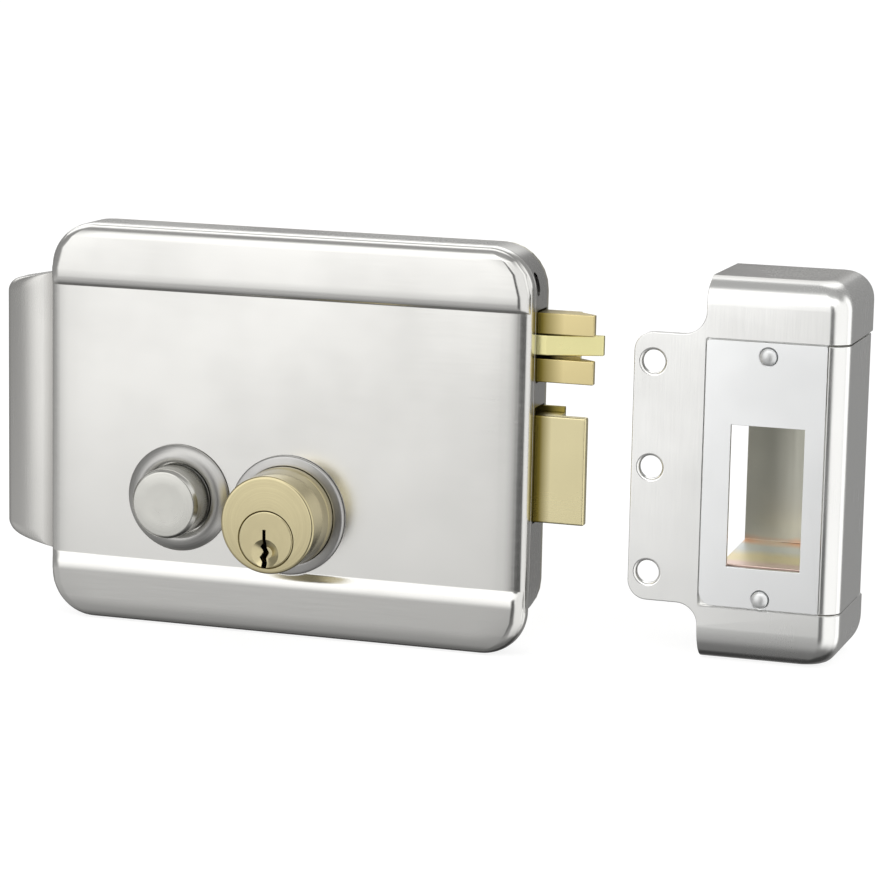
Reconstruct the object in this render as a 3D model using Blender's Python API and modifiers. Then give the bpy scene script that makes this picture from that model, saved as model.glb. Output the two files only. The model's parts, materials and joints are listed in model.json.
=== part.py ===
"""Electric rim lock with push button and key cylinder, and its box strike.

X runs along the lock towards its bolts, Y runs into the door, Z is up.  The origin is on the
door side of the lock's back plate.  Dimensions below are in millimetres and are turned into
metres when a mesh is written.
"""
import math

import bmesh
import bpy
from mathutils import Matrix, Vector

MM = 0.001
GAP = 0.3

# ---- lock case -------------------------------------------------------------------------------
CASE_W = 131.9
CASE_H = 105.0
CASE_D = 15.6
FRONT = -CASE_D                       # plane of the recessed middle panel
CORNER_R = 12.0
SHEET = 1.2
WALL = 1.5
PLATE_T = 1.5
CASE_FOOT = -46.5                     # foot of the rear case and back plate
EDGE = ((0.0, 5.5), (0.1, 3.6), (0.33, 2.1), (0.66, 1.42), (1.2, 0.75), (2.0, 0.15), (2.7, 0.0),
        (3.7, 0.0))                    # cover edge: depth, inset
BAND_TOP_Z = 36.0                     # lower edge of the raised upper band
BAND_LOW_Z = -35.2                    # upper edge of the raised lower band
BAND = ((1.6, 0.7, 0.0), (0.6, 0.83, 0.0), (0.04, 1.12, 0.0), (-0.62, 1.75, 0.3), (-1.12, 2.6, 0.9),
        (-1.47, 3.65, 1.6), (-1.6, 4.9, 2.5))                        # depth, inset, flank
BAND_TILT = 0.05                       # the lower band falls back this much per millimetre
COVER_REAR = FRONT + 3.7
PLATE_FRONT = -PLATE_T
INNER_REAR = PLATE_FRONT - GAP        # rearmost plane for anything standing on the back plate
WALL_X = CASE_W / 2

# ---- wiring end cover ------------------------------------------------------------------------
EAR_X0, EAR_X1 = -81.3, -66.3
EAR_Z0, EAR_Z1 = -35.2, 38.6
EAR_FRONT = FRONT + 3.6
EAR_R, EAR_TAPER = 3.3, 0.0055          # corner radius, loss of height per millimetre outwards

# ---- key cylinder ----------------------------------------------------------------------------
CYL_X, CYL_Z = 1.5, -20.2
CYL_R, CYL_R_REAR = 12.7, 13.0
CYL_PROUD = 15.0
CYL_REAR = FRONT + 6.5
PLUG_X, PLUG_Z = 1.2, -24.0
PLUG_R = 7.35
RING_R = 15.7
CRANK_R = 9.19
CRANK_PIN_R = 1.2

# ---- push button -----------------------------------------------------------------------------
BUTTON_X, BUTTON_Z = -28.8, -18.0
BUTTON_R = 9.15
BUTTON_PROUD = 10.7
FLANGE_R = 14.1
BUTTON_TRAVEL = 3.5

# ---- bolts (distances "in" are measured from the panel plane) ----------------------------------
BOLT_FRONT = FRONT + 5.5
BOLT_REAR = FRONT + 12.0
BOLT_X0, BOLT_X1, BOLT_STEP_X = 50.0, 79.3, 72.1   # ends, start of the thin tip
BOLT_Z0, BOLT_Z1 = -17.9, 9.8
BOLT_TRAVEL = 13.0
TAIL_Y0, TAIL_Y1 = FRONT + 9.7, FRONT + 11.2
TAIL_X0, TAIL_X1 = 3.5, 57.7
TAIL_Z0, TAIL_Z1 = -21.0, -7.0
BACKING_Y0, BACKING_Y1 = FRONT + 12.3, FRONT + 13.5
UPPER_LEAF_Z = (30.6, 36.0)
MIDDLE_LEAF_Z = (25.2, 30.3)
LOWER_LEAF_Z = (18.3, 24.3)
LEAF_X1 = 80.8
MIDDLE_LEAF_X1 = 82.0
SPRING_Y = FRONT + 8.75

# ---- release rocker --------------------------------------------------------------------------
ROCKER_X, ROCKER_Y = -14.0, FRONT + 8.4
ROCKER_Y0, ROCKER_Y1 = FRONT + 7.8, FRONT + 9.0
COIL_Z, COIL_Y = 22.0, FRONT + 7.2

# ---- strike ----------------------------------------------------------------------------------
ST_X, ST_Y, ST_Z = 106.9, 0.8, -52.5  # left edge, face plane and foot of the strike box
ST_W, ST_H, ST_D = 36.4, 98.5, 32.4
ST_EDGE_R, ST_REAR_R = 5.0, 4.0
ST_FLAT = ST_W - ST_EDGE_R            # width of the flat face before its rounded edge
CAP_R = 7.0                           # rounding of the caps towards the front and the right
CAP_RISE_TOP, CAP_RISE_LOW = 7.0, 9.0
ST_SEAM_LOW, ST_SEAM_TOP = 14.4, 83.2
TAB_X = -18.5
TAB_Z0, TAB_Z1 = 14.6, 83.9
TAB_T = 1.8
TAB_HOLE_X = -13.4
TAB_HOLES_Z = (21.9, 49.1, 76.3)
MOUTH_X0, MOUTH_X1 = 7.2, 26.2
MOUTH_Z0, MOUTH_Z1 = 25.0, 61.6
ST_SCREW_X = 16.2
ST_SCREWS_Z = (17.2, 79.4)

MATERIALS = {
    "satin_nickel": ((0.73, 0.73, 0.71), 0.36, 1.0),
    "nickel_edge": ((0.62, 0.62, 0.61), 0.40, 1.0),
    "zinc_steel": ((0.66, 0.64, 0.58), 0.42, 1.0),
    "pale_steel": ((0.80, 0.82, 0.84), 0.42, 0.9),
    "bright_steel": ((0.74, 0.74, 0.74), 0.25, 1.0),
    "spring_steel": ((0.50, 0.50, 0.52), 0.32, 1.0),
    "bolt_brass": ((0.70, 0.60, 0.33), 0.34, 1.0),
    "cylinder_brass": ((0.74, 0.62, 0.36), 0.28, 1.0),
    "coil_copper": ((0.62, 0.27, 0.12), 0.38, 0.9),
    "black_plastic": ((0.03, 0.03, 0.035), 0.5, 0.0),
    "white_plastic": ((0.78, 0.77, 0.72), 0.45, 0.0),
    "red_wire": ((0.55, 0.04, 0.03), 0.45, 0.0),
}


# ---- scene set-up ----------------------------------------------------------------------------
for old in list(bpy.data.objects):
    bpy.data.objects.remove(old, do_unlink=True)
for old in list(bpy.data.collections):
    bpy.data.collections.remove(old)

PARTS = bpy.data.collections.new("electric_door_strike")
CUTTERS = bpy.data.collections.new("cutters")
bpy.context.scene.collection.children.link(PARTS)
bpy.context.scene.collection.children.link(CUTTERS)


def material(name, node):
    """A Principled material of its own for one node."""
    colour, rough, metal = MATERIALS[name]
    mat = bpy.data.materials.new(node + "_" + name)
    mat.use_nodes = True
    shader = mat.node_tree.nodes["Principled BSDF"]
    shader.inputs["Base Color"].default_value = (*colour, 1.0)
    shader.inputs["Roughness"].default_value = rough
    shader.inputs["Metallic"].default_value = metal
    mat.diffuse_color = (*colour, 1.0)
    return mat


def add(name, data, look=None, origin=(0, 0, 0)):
    """Link a mesh or curve as a named part, or as a cutter when it has no look."""
    obj = bpy.data.objects.new(name, data)
    obj.location = Vector(origin) * MM
    if look:
        data.materials.append(material(look, name))
        PARTS.objects.link(obj)
    else:
        CUTTERS.objects.link(obj)
        obj.hide_render = True
        obj.display_type = "WIRE"
    return obj


def mesh_part(name, bm, look=None, origin=(0, 0, 0), smooth=False):
    """Write a bmesh given in world millimetres as an object whose origin is at origin."""
    bmesh.ops.recalc_face_normals(bm, faces=bm.faces)
    bmesh.ops.translate(bm, verts=bm.verts, vec=-Vector(origin))
    bmesh.ops.scale(bm, verts=bm.verts, vec=(MM, MM, MM))
    for face in bm.faces:
        face.smooth = smooth
    mesh = bpy.data.meshes.new(name)
    bm.to_mesh(mesh)
    bm.free()
    return add(name, mesh, look, origin)


def box(name, x, y, z, look=None, origin=(0, 0, 0)):
    """Box between the pairs x, y and z."""
    bm = bmesh.new()
    size = [b - a for a, b in (x, y, z)]
    mid = [(a + b) / 2 for a, b in (x, y, z)]
    bmesh.ops.create_cube(bm, size=1.0, matrix=Matrix.Translation(mid) @ Matrix.Diagonal((*size, 1)))
    return mesh_part(name, bm, look, origin)


AXIS_TURN = {
    "X": Matrix.Rotation(math.radians(90), 4, "Y"),
    "Y": Matrix.Rotation(math.radians(-90), 4, "X"),
    "Z": Matrix.Identity(4),
}


def rod(name, axis, at, span, r, look=None, origin=(0, 0, 0), r2=None, sides=24):
    """Round bar along an axis; at holds the two other coordinates in X, Y, Z order."""
    bm = bmesh.new()
    mid = list(at)
    mid.insert("XYZ".index(axis), (span[0] + span[1]) / 2)
    place = Matrix.Translation(mid) @ AXIS_TURN[axis]
    bmesh.ops.create_cone(bm, cap_ends=True, segments=sides, radius1=r, radius2=r if r2 is None else r2,
                          depth=span[1] - span[0], matrix=place)
    obj = mesh_part(name, bm, look, origin)
    for face in obj.data.polygons:
        face.use_smooth = len(face.vertices) == 4
    return obj


def lathe(name, profile, centre, look=None, steps=48):
    """Turn (radius, height) points about an axis along -Y; height 0 is at centre."""
    ends = list(profile[1:]) + [profile[0]]
    if sum(a[0] * b[1] - b[0] * a[1] for a, b in zip(profile, ends)) > 0:
        profile = profile[::-1]
    bm = bmesh.new()
    verts = [bm.verts.new((r * MM, 0, h * MM)) for r, h in profile]
    for a, b in zip(verts, verts[1:] + verts[:1]):
        if a.co.x > 1e-9 or b.co.x > 1e-9:
            bm.edges.new((a, b))
    mesh = bpy.data.meshes.new(name)
    bm.to_mesh(mesh)
    bm.free()
    obj = add(name, mesh, look, centre)
    obj.rotation_euler = (math.radians(90), 0, 0)
    turn = obj.modifiers.new("turn", "SCREW")
    turn.axis = "Z"
    turn.angle = math.tau
    turn.steps = turn.render_steps = steps
    turn.use_merge_vertices = True
    turn.merge_threshold = 0.00001
    turn.use_smooth_shade = True
    return obj


def prism(name, points, axis, span, look=None, origin=(0, 0, 0)):
    """Extrude a closed outline along an axis; points hold the two other coordinates."""
    bm = bmesh.new()
    k = "XYZ".index(axis)
    rings = []
    for level in span:
        ring = []
        for a, b in points:
            co = [a, b]
            co.insert(k, level)
            ring.append(bm.verts.new(co))
        rings.append(ring)
    bm.faces.new(rings[0])
    bm.faces.new(rings[1])
    count = len(points)
    for i in range(count):
        j = (i + 1) % count
        bm.faces.new((rings[0][i], rings[0][j], rings[1][j], rings[1][i]))
    return mesh_part(name, bm, look, origin)


def loft(name, rings, look=None):
    """Skin closed rings of equal count and cap both ends."""
    bm = bmesh.new()
    rows = [[bm.verts.new(co) for co in ring] for ring in rings]
    for low, high in zip(rows, rows[1:]):
        for i in range(len(low)):
            j = (i + 1) % len(low)
            bm.faces.new((low[i], low[j], high[j], high[i]))
    bm.faces.new(rows[0])
    bm.faces.new(rows[-1])
    return mesh_part(name, bm, look)


def rounded(x0, x1, z0, z1, radii, count=7):
    """Rounded rectangle; radii in the order low-left, low-right, top-right, top-left."""
    points = []
    corners = ((x0, z0, 1, 1, 180), (x1, z0, -1, 1, 270), (x1, z1, -1, -1, 0), (x0, z1, 1, -1, 90))
    for (cx, cz, sx, sz, start), r in zip(corners, radii):
        r = max(r, 0.05)
        for i in range(count):
            a = math.radians(start + 90 * i / (count - 1))
            points.append((cx + sx * r + r * math.cos(a), cz + sz * r + r * math.sin(a)))
    return points


def case_outline(inset, foot=-CASE_H / 2, top=CASE_H / 2, count=8):
    """Outline of the case, set in by a distance, between its foot and its top."""
    half_w = CASE_W / 2 - inset
    return rounded(-half_w, half_w, foot + inset, top - inset, [max(CORNER_R - inset, 1.0)] * 4, count)


def band_rings(upper):
    """Rings of a raised band of the cover: its inner flank is wide, its outer edge tight."""
    rings = []
    for depth, inset, flank in BAND:
        half_w, end, r = CASE_W / 2 - inset, CASE_H / 2 - inset, CORNER_R - inset
        if upper:
            ring = rounded(-half_w, half_w, BAND_TOP_Z + flank, end, (0.2, 0.2, r, r), 8)
        else:
            ring = rounded(-half_w, half_w, -end, BAND_LOW_Z - flank, (r, r, 0.2, 0.2), 8)
        tilt = 0.0 if upper else BAND_TILT * max(-depth / 1.6, 0.0)
        rings.append([(x, FRONT + depth + tilt * (BAND_LOW_Z - z), z) for x, z in ring])
    return rings


def cut(target, *tools, operation="DIFFERENCE"):
    """Apply cutters to a part one after another."""
    for tool in tools:
        mod = target.modifiers.new(tool.name, "BOOLEAN")
        mod.operation = operation
        mod.solver = "EXACT"
        mod.object = tool
    return target


def join(target, *tools):
    return cut(target, *tools, operation="UNION")


def bevel(obj, width, segments=1, angle=40):
    mod = obj.modifiers.new("edge", "BEVEL")
    mod.width = width * MM
    mod.segments = segments
    mod.limit_method = "ANGLE"
    mod.angle_limit = math.radians(angle)
    return obj


def coil_spring(name, axis, at, span, r, wire, turns, look="spring_steel", per_turn=10):
    """Helical wire along an axis."""
    curve = bpy.data.curves.new(name, "CURVE")
    curve.dimensions = "3D"
    curve.bevel_depth = wire * MM
    curve.bevel_resolution = 0
    curve.use_fill_caps = True
    spline = curve.splines.new("POLY")
    count = int(turns * per_turn) + 1
    spline.points.add(count - 1)
    k = "XYZ".index(axis)
    for i in range(count):
        a = math.tau * i / per_turn
        co = [at[0] + r * math.cos(a), at[1] + r * math.sin(a)]
        co.insert(k, span[0] + wire + (span[1] - span[0] - 2 * wire) * i / (count - 1))
        spline.points[i].co = (co[0] * MM, co[1] * MM, co[2] * MM, 1.0)
    return add(name, curve, look)


def wire(name, points, r, look):
    """Round wire through given points."""
    curve = bpy.data.curves.new(name, "CURVE")
    curve.dimensions = "3D"
    curve.bevel_depth = r * MM
    curve.bevel_resolution = 1
    curve.use_fill_caps = True
    spline = curve.splines.new("POLY")
    spline.points.add(len(points) - 1)
    for point, co in zip(spline.points, points):
        point.co = (co[0] * MM, co[1] * MM, co[2] * MM, 1.0)
    return add(name, curve, look)


# ---- case ------------------------------------------------------------------------------------
POSTS = [(-57.0, -38.0), (-57.0, 43.0), (57.0, -38.0), (57.0, 43.0)]
DOOR_HOLES = [(-45.0, -40.0), (-45.0, 44.0), (45.0, -40.0), (45.0, 44.0)]


def ear_outline(inset, x1, margin, radius):
    """Outline of the end cover in front view, lower towards its outer end."""
    middle = (EAR_Z0 + EAR_Z1) / 2
    points = rounded(EAR_X0 + inset, x1, EAR_Z0 + margin, EAR_Z1 - margin, (radius, 0.2, 0.2, radius))
    return [(x, middle + (z - middle) * (1 - EAR_TAPER * max(EAR_X1 - x, 0.0))) for x, z in points]


def build_case():
    plate = prism("back_plate", case_outline(0.2, CASE_FOOT), "Y", (PLATE_FRONT, 0), "zinc_steel")
    tongue = prism("cut_tongue", ear_outline(0.4, -50, 0.6, 2.9), "Y", (PLATE_FRONT, 0))
    join(plate, tongue)
    for i, (x, z) in enumerate(DOOR_HOLES):
        cut(plate, rod("cut_door_%d" % i, "Y", (x, z), (-3, 1), 2.5))
    cut(plate, rod("cut_tailpiece", "Y", (PLUG_X, PLUG_Z), (-3, 1), 6.0))
    cut(plate, rod("cut_wire_in", "Y", (-74.0, -22.0), (-3, 1), 4.0))

    case = prism("rear_case", case_outline(0, CASE_FOOT), "Y", (COVER_REAR + GAP, INNER_REAR),
                 "nickel_edge")
    cut(case, prism("cut_case_inside", case_outline(WALL, CASE_FOOT), "Y", (COVER_REAR - 1, 2)))
    y0 = BOLT_FRONT - GAP
    cut(case, box("cut_leaf_gate", (60, 70), (y0, 2), (LOWER_LEAF_Z[0] - 0.4, UPPER_LEAF_Z[1] + 0.4)))
    cut(case, box("cut_bolt_gate", (60, 70), (y0, 2), (BOLT_Z0 - 0.4, 11.7)))
    cut(case, box("cut_wire_gate", (-70, -60), (FRONT + 7, FRONT + 12), (-1, 11)))
    slot = [(y, z) for z, y in rounded(40.0, 46.0, FRONT + 4.7, FRONT + 7.3, [1.3] * 4, 5)]
    cut(case, prism("cut_side_slot", slot, "X", (60, 70)))

    cover = loft("front_cover", [[(x, FRONT + d, z) for x, z in case_outline(i)] for d, i in EDGE],
                 "satin_nickel")
    join(cover, loft("cut_upper_band", band_rings(True)), loft("cut_lower_band", band_rings(False)))
    cut(cover, rod("cut_ring_seat", "Y", (CYL_X, CYL_Z), (FRONT - 4, FRONT), RING_R + GAP, sides=48))
    cut(cover, prism("cut_cover_inside", case_outline(SHEET), "Y", (FRONT + SHEET, COVER_REAR - 1.0)))
    cut(cover, prism("cut_cover_rear", case_outline(WALL, CASE_FOOT), "Y", (FRONT + 2.0, FRONT + 9)))
    cut(cover, rod("cut_cylinder_hole", "Y", (CYL_X, CYL_Z), (FRONT - 3, FRONT + 3), CYL_R_REAR + 0.4,
                   sides=48))
    cut(cover, rod("cut_button_hole", "Y", (BUTTON_X, BUTTON_Z), (FRONT - 3, FRONT + 3),
                   BUTTON_R + 0.45, sides=48))

    rings, inner = [], []
    for angle in (0, 20, 40, 60, 75, 90):
        t = math.radians(angle)
        inset, depth = 11.0 * (1 - math.sin(t)), 4.6 * (1 - math.cos(t))
        rings.append([(x, EAR_FRONT + depth, z) for x, z in ear_outline(inset, EAR_X1, 0.0, EAR_R)])
        inner.append([(x, EAR_FRONT + depth + 1.2, z)
                      for x, z in ear_outline(inset + 1.2, EAR_X1 + 2, 1.2, EAR_R - 1.2)])
    rings.append([(x, EAR_FRONT + 10.2, z) for x, y, z in rings[-1]])
    inner.append([(x, EAR_FRONT + 12.0, z) for x, y, z in inner[-1]])
    ear = loft("end_cover", rings, "satin_nickel")
    cut(ear, loft("cut_ear_inside", inner))

    for i, (x, z) in enumerate(POSTS, 1):
        post = rod("case_post_%d" % i, "Y", (x, z), (FRONT + SHEET + GAP, INNER_REAR), 3.2,
                   "bright_steel", sides=20)
        cut(post, rod("cut_post_%d" % i, "Y", (x, z), (INNER_REAR - 7.5, 1), 1.6, sides=16))
        cut(plate, lathe("cut_sink_%d" % i, ((0, 0.3), (3.1, 0.3), (3.1, -0.2), (1.6, -1.2),
                                            (1.6, -4), (0, -4)), (x, 0, z), steps=20))
        bpy.data.objects["cut_sink_%d" % i].rotation_euler = (math.radians(-90), 0, 0)
        screw = lathe("case_screw_%d" % i, ((0, -0.2), (2.6, -0.2), (2.6, -0.4), (1.3, -1.3),
                                            (1.3, -8.0), (0, -8.0)), (x, 0, z), "bright_steel", 20)
        screw.rotation_euler = (math.radians(-90), 0, 0)


# ---- key cylinder ----------------------------------------------------------------------------
def keyway_outline():
    """Stepped keyway from the top of the slot down to the rim of the plug."""
    x, z = PLUG_X - 0.4, PLUG_Z
    left = [(x - 0.5, z + 2.6), (x - 0.5, z - 1.0), (x - 1.3, z - 2.0), (x - 0.6, z - 3.4),
            (x - 1.5, z - 4.8), (x - 0.7, z - 6.0), (x - 0.7, z - 9.0)]
    right = [(x + 0.7, z - 9.0), (x + 0.7, z - 6.2), (x + 0.2, z - 5.0), (x + 1.0, z - 3.6),
             (x + 0.3, z - 2.2), (x + 0.5, z - 1.0), (x + 0.5, z + 2.6)]
    return left + right


def build_cylinder():
    at = (CYL_X, FRONT, CYL_Z)
    lathe("cylinder_ring", ((13.4, GAP), (RING_R, GAP), (RING_R, 0.9), (14.8, 1.9), (13.9, 2.3),
                            (13.4, 2.3)), at, "satin_nickel")
    depth = CYL_REAR - FRONT
    barrel = lathe("cylinder_barrel", ((0, CYL_PROUD), (CYL_R - 0.6, CYL_PROUD),
                                       (CYL_R, CYL_PROUD - 0.6), (CYL_R, 4.5), (CYL_R_REAR, 3.2),
                                       (CYL_R_REAR, -depth), (0, -depth)), at, "cylinder_brass")
    cut(barrel, rod("cut_plug_bore", "Y", (PLUG_X, PLUG_Z), (FRONT - 20, CYL_REAR + 2),
                    PLUG_R + GAP, sides=40))
    origin = (PLUG_X, FRONT, PLUG_Z)
    plug = lathe("cylinder_plug", ((0, CYL_PROUD + 0.1), (PLUG_R - 0.3, CYL_PROUD + 0.1),
                                   (PLUG_R, CYL_PROUD - 0.2), (PLUG_R, 0.2 - depth),
                                   (2.6, 0.2 - depth), (2.6, -8.1), (0, -8.1)), origin,
                 "cylinder_brass", 40)
    cut(plug, prism("cut_keyway", keyway_outline(), "Y", (FRONT - 20, FRONT + 2)))

    cam_y = (CYL_REAR + GAP, CYL_REAR + 1.7)
    cam = rod("cylinder_cam", "Y", (PLUG_X, PLUG_Z), cam_y, 5.0, "zinc_steel", origin)
    pin = Vector((PLUG_X + CRANK_R * math.sqrt(0.5), 0, PLUG_Z + CRANK_R * math.sqrt(0.5)))
    a, b = Vector((PLUG_X, PLUG_Z)), Vector((pin.x, pin.z))
    side = Vector((b.y - a.y, a.x - b.x)).normalized() * 2.6
    arm = prism("cut_cam_arm", [tuple(a + side), tuple(b + side), tuple(b - side), tuple(a - side)],
                "Y", cam_y)
    tip = rod("cut_cam_tip", "Y", tuple(b), cam_y, 2.6)
    join(cam, arm, tip)
    cut(cam, rod("cut_cam_hub", "Y", tuple(a), (CYL_REAR, CYL_REAR + 3), 2.9))
    cut(cam, rod("cut_cam_pin", "Y", tuple(b), (CYL_REAR, CYL_REAR + 3), CRANK_PIN_R + GAP))
    rod("crank_pin", "Y", tuple(b), (CYL_REAR + 0.4, TAIL_Y1 + 0.5), CRANK_PIN_R, "bright_steel",
        origin, sides=16)


# ---- push button -----------------------------------------------------------------------------
def build_button():
    at = (BUTTON_X, FRONT, BUTTON_Z)
    lathe("button_flange", ((BUTTON_R + 0.5, GAP), (FLANGE_R, GAP), (FLANGE_R, 0.6), (13.3, 1.4),
                            (12.0, 2.1), (10.6, 2.3), (BUTTON_R + 0.5, 1.8)), at, "satin_nickel")
    lathe("push_button", ((0, BUTTON_PROUD), (BUTTON_R - 0.9, BUTTON_PROUD),
                          (BUTTON_R, BUTTON_PROUD - 0.9), (BUTTON_R, -1.6), (10.6, -1.6),
                          (10.6, -2.8), (7.0, -2.8), (7.0, 8.0), (0, 8.0)), at, "bright_steel")
    lathe("button_stem", ((0, 7.7), (2.0, 7.7), (2.0, -6.3), (1.2, -6.3), (1.2, -7.3), (0, -7.3)),
          at, "zinc_steel", 16)
    coil_spring("button_spring", "Y", (BUTTON_X, BUTTON_Z), (FRONT - 7.5, FRONT + 6.3), 3.4, 0.35, 6)

    guide = box("button_guide", (-33.0, -24.6), (FRONT + 6.6, FRONT + 7.4), (-30, -6), "zinc_steel")
    for i, z in enumerate(((-30, -28.8), (-7.2, -6))):
        join(guide, box("cut_guide_leg_%d" % i, (-33.0, -24.6), (FRONT + 6.8, INNER_REAR), z))
    cut(guide, rod("cut_guide_hole", "Y", (BUTTON_X, BUTTON_Z), (FRONT, FRONT + 9), 2.5))


# ---- release rocker and its magnet -------------------------------------------------------------
def build_release():
    origin = (ROCKER_X, ROCKER_Y, 0)
    spine = rod("release_rocker", "Z", (ROCKER_X, ROCKER_Y), (-21, 29), 1.9, "zinc_steel", origin,
                sides=16)
    join(spine,
         box("cut_button_arm", (-30.0, ROCKER_X), (ROCKER_Y0, ROCKER_Y1), (-20.5, -15.5)),
         box("cut_bolt_arm", (ROCKER_X, -3.0), (ROCKER_Y0, ROCKER_Y1), (-5, 1)),
         box("cut_magnet_arm", (-17.4, ROCKER_X), (ROCKER_Y0, ROCKER_Y1), (16, 28)))
    cut(spine, rod("cut_rocker_bore", "Z", (ROCKER_X, ROCKER_Y), (-40, 40), 1.3, sides=16))
    box("armature_plate", (-18.9, -17.7), (FRONT + 2.6, FRONT + 12), (15, 29), "bright_steel", origin)
    rod("rocker_pin", "Z", (ROCKER_X, ROCKER_Y), (-26, 34), 1.0, "bright_steel", sides=12)

    bracket = box("rocker_bracket", (-16.5, -11.5), (FRONT + 12.9, INNER_REAR), (-25.5, 33),
                  "zinc_steel")
    for i, z in enumerate(((-25.5, -24), (31.5, 33))):
        join(bracket, box("cut_lug_%d" % i, (-16.5, -11.5), (FRONT + 5.8, FRONT + 13.1), z))
    cut(bracket, rod("cut_lug_bore", "Z", (ROCKER_X, ROCKER_Y), (-40, 40), 1.3, sides=16))
    coil_spring("rocker_spring", "Y", (-22.0, BUTTON_Z), (ROCKER_Y1 + GAP, INNER_REAR), 1.5, 0.3, 3)

    y, z = COIL_Y, COIL_Z
    frame = box("solenoid_frame", (-60, -22), (FRONT + 12.8, INNER_REAR), (13, 31), "zinc_steel")
    for i, x in enumerate(((-60, -58.5), (-23.5, -22))):
        join(frame, box("cut_cheek_%d" % i, x, (FRONT + 1.9, FRONT + 13), (14, 30)))
    cut(frame, rod("cut_core_bore", "X", (y, z), (-70, -10), 2.3, sides=20))
    bobbin = rod("solenoid_bobbin", "X", (y, z), (-58.1, -23.9), 3.0, "white_plastic", sides=24)
    for i, x in enumerate(((-58.1, -57.1), (-24.9, -23.9))):
        join(bobbin, rod("cut_bobbin_rim_%d" % i, "X", (y, z), x, 5.2, sides=24))
    cut(bobbin, rod("cut_bobbin_bore", "X", (y, z), (-70, -10), 2.35, sides=24))
    coil = rod("solenoid_coil", "X", (y, z), (-56.8, -25.2), 4.9, "coil_copper", sides=24)
    cut(coil, rod("cut_coil_bore", "X", (y, z), (-70, -10), 3.3, sides=24))
    rod("solenoid_core", "X", (y, z), (-61.5, -20.8), 2.0, "bright_steel", sides=20)

    block = box("terminal_block", (-78, -69), (FRONT + 7.6, INNER_REAR), (-10, 14), "black_plastic")
    for i, z0 in enumerate((-4.0, 8.0), 1):
        cut(block, rod("cut_terminal_%d" % i, "Y", (-73.5, z0), (FRONT + 5, FRONT + 12), 1.3, sides=16))
        lathe("terminal_screw_%d" % i, ((0, -6.2), (2.2, -6.2), (2.2, -7.3), (1.0, -7.3),
                                        (1.0, -11.2), (0, -11.2)), (-73.5, FRONT, z0), "bolt_brass", 16)
        z1 = 3.0 * i
        x1 = -50.0 - 3.0 * i
        wire("lead_wire_%d" % i, [(x1, y - 2.0, 16.2), (x1 - 3.0, y - 1.5, 11.0),
                                  (-61.5, y + 1.6, z1 + 1), (-65.5, y + 2.2, z1),
                                  (-68.5, y + 2.2, z1)], 0.6, "red_wire" if i == 1 else "black_plastic")


# ---- bolts -----------------------------------------------------------------------------------
def build_main_bolt():
    bolt = box("main_bolt", (BOLT_X0, BOLT_X1), (BOLT_FRONT, BOLT_REAR), (BOLT_Z0, BOLT_Z1),
               "bolt_brass")
    bevel(bolt, 0.4)
    cut(bolt, box("cut_tip_step", (BOLT_STEP_X, BOLT_X1 + 2), (BOLT_FRONT + 2.2, BOLT_REAR + 2),
                  (BOLT_Z0 - 2, BOLT_Z1 + 2)))
    cut(bolt, rod("cut_rod_bore", "X", (SPRING_Y, 4.0), (BOLT_X0 - 2, BOLT_X0 + 14), 2.2, sides=20))
    cut(bolt, box("cut_tail_seat", (BOLT_X0 - 2, TAIL_X1 + GAP), (TAIL_Y0 - GAP, TAIL_Y1 + GAP),
                  (BOLT_Z0 - 3, TAIL_Z1 + GAP)))
    tail = box("bolt_tail", (TAIL_X0, TAIL_X1), (TAIL_Y0, TAIL_Y1), (TAIL_Z0, TAIL_Z1), "zinc_steel")
    pin_x = PLUG_X + CRANK_R * math.sqrt(0.5)
    cut(tail, box("cut_crank_slot", (pin_x - 1.75, pin_x + 1.75), (TAIL_Y0 - 2, TAIL_Y1 + 2),
                  (PLUG_Z + 4.7, PLUG_Z + 11.1)))
    guide_x, guide_z = 30.0, -13.0
    cut(tail, box("cut_guide_slot", (guide_x - 1.9, guide_x + BOLT_TRAVEL + 1.9),
                  (TAIL_Y0 - 2, TAIL_Y1 + 2), (guide_z - 1.9, guide_z + 1.9)))
    rod("tail_guide_post", "Y", (guide_x, guide_z), (FRONT + 6.0, INNER_REAR), 1.5, "bright_steel",
        sides=16)
    for i, z in enumerate((-10.0, -15.0), 1):
        x = 54.0
        hole = rod("cut_rivet_%d" % i, "Y", (x, z), (FRONT + 4, FRONT + 13), 1.5, sides=16)
        cut(bolt, hole)
        cut(tail, hole)
        rod("tail_rivet_%d" % i, "Y", (x, z), (BOLT_FRONT + 0.3, BOLT_REAR - 0.2), 1.2,
            "bright_steel", sides=16)
    box("bolt_backing", (BOLT_X0, 71.8), (BACKING_Y0, BACKING_Y1), (-16.5, 11.3), "bolt_brass")

    bracket = box("bolt_spring_bracket", (19, 21), (FRONT + 4, INNER_REAR), (-3, 11), "zinc_steel")
    bevel(bracket, 0.3)
    rod("bolt_spring_rod", "X", (SPRING_Y, 4.0), (21.3, 49.0), 1.4, "bright_steel", sides=16)
    coil_spring("bolt_spring", "X", (SPRING_Y, 4.0), (21.4, 49.6), 2.9, 0.4, 10)


def leaf(name, z, tip, look="bolt_brass"):
    """Bolt leaf cut from bar; tip lists the plan outline from the front of the tip to its rear."""
    return bevel(prism(name, [(x, y) for x, y in tip], "Z", z, look), 0.25)


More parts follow.
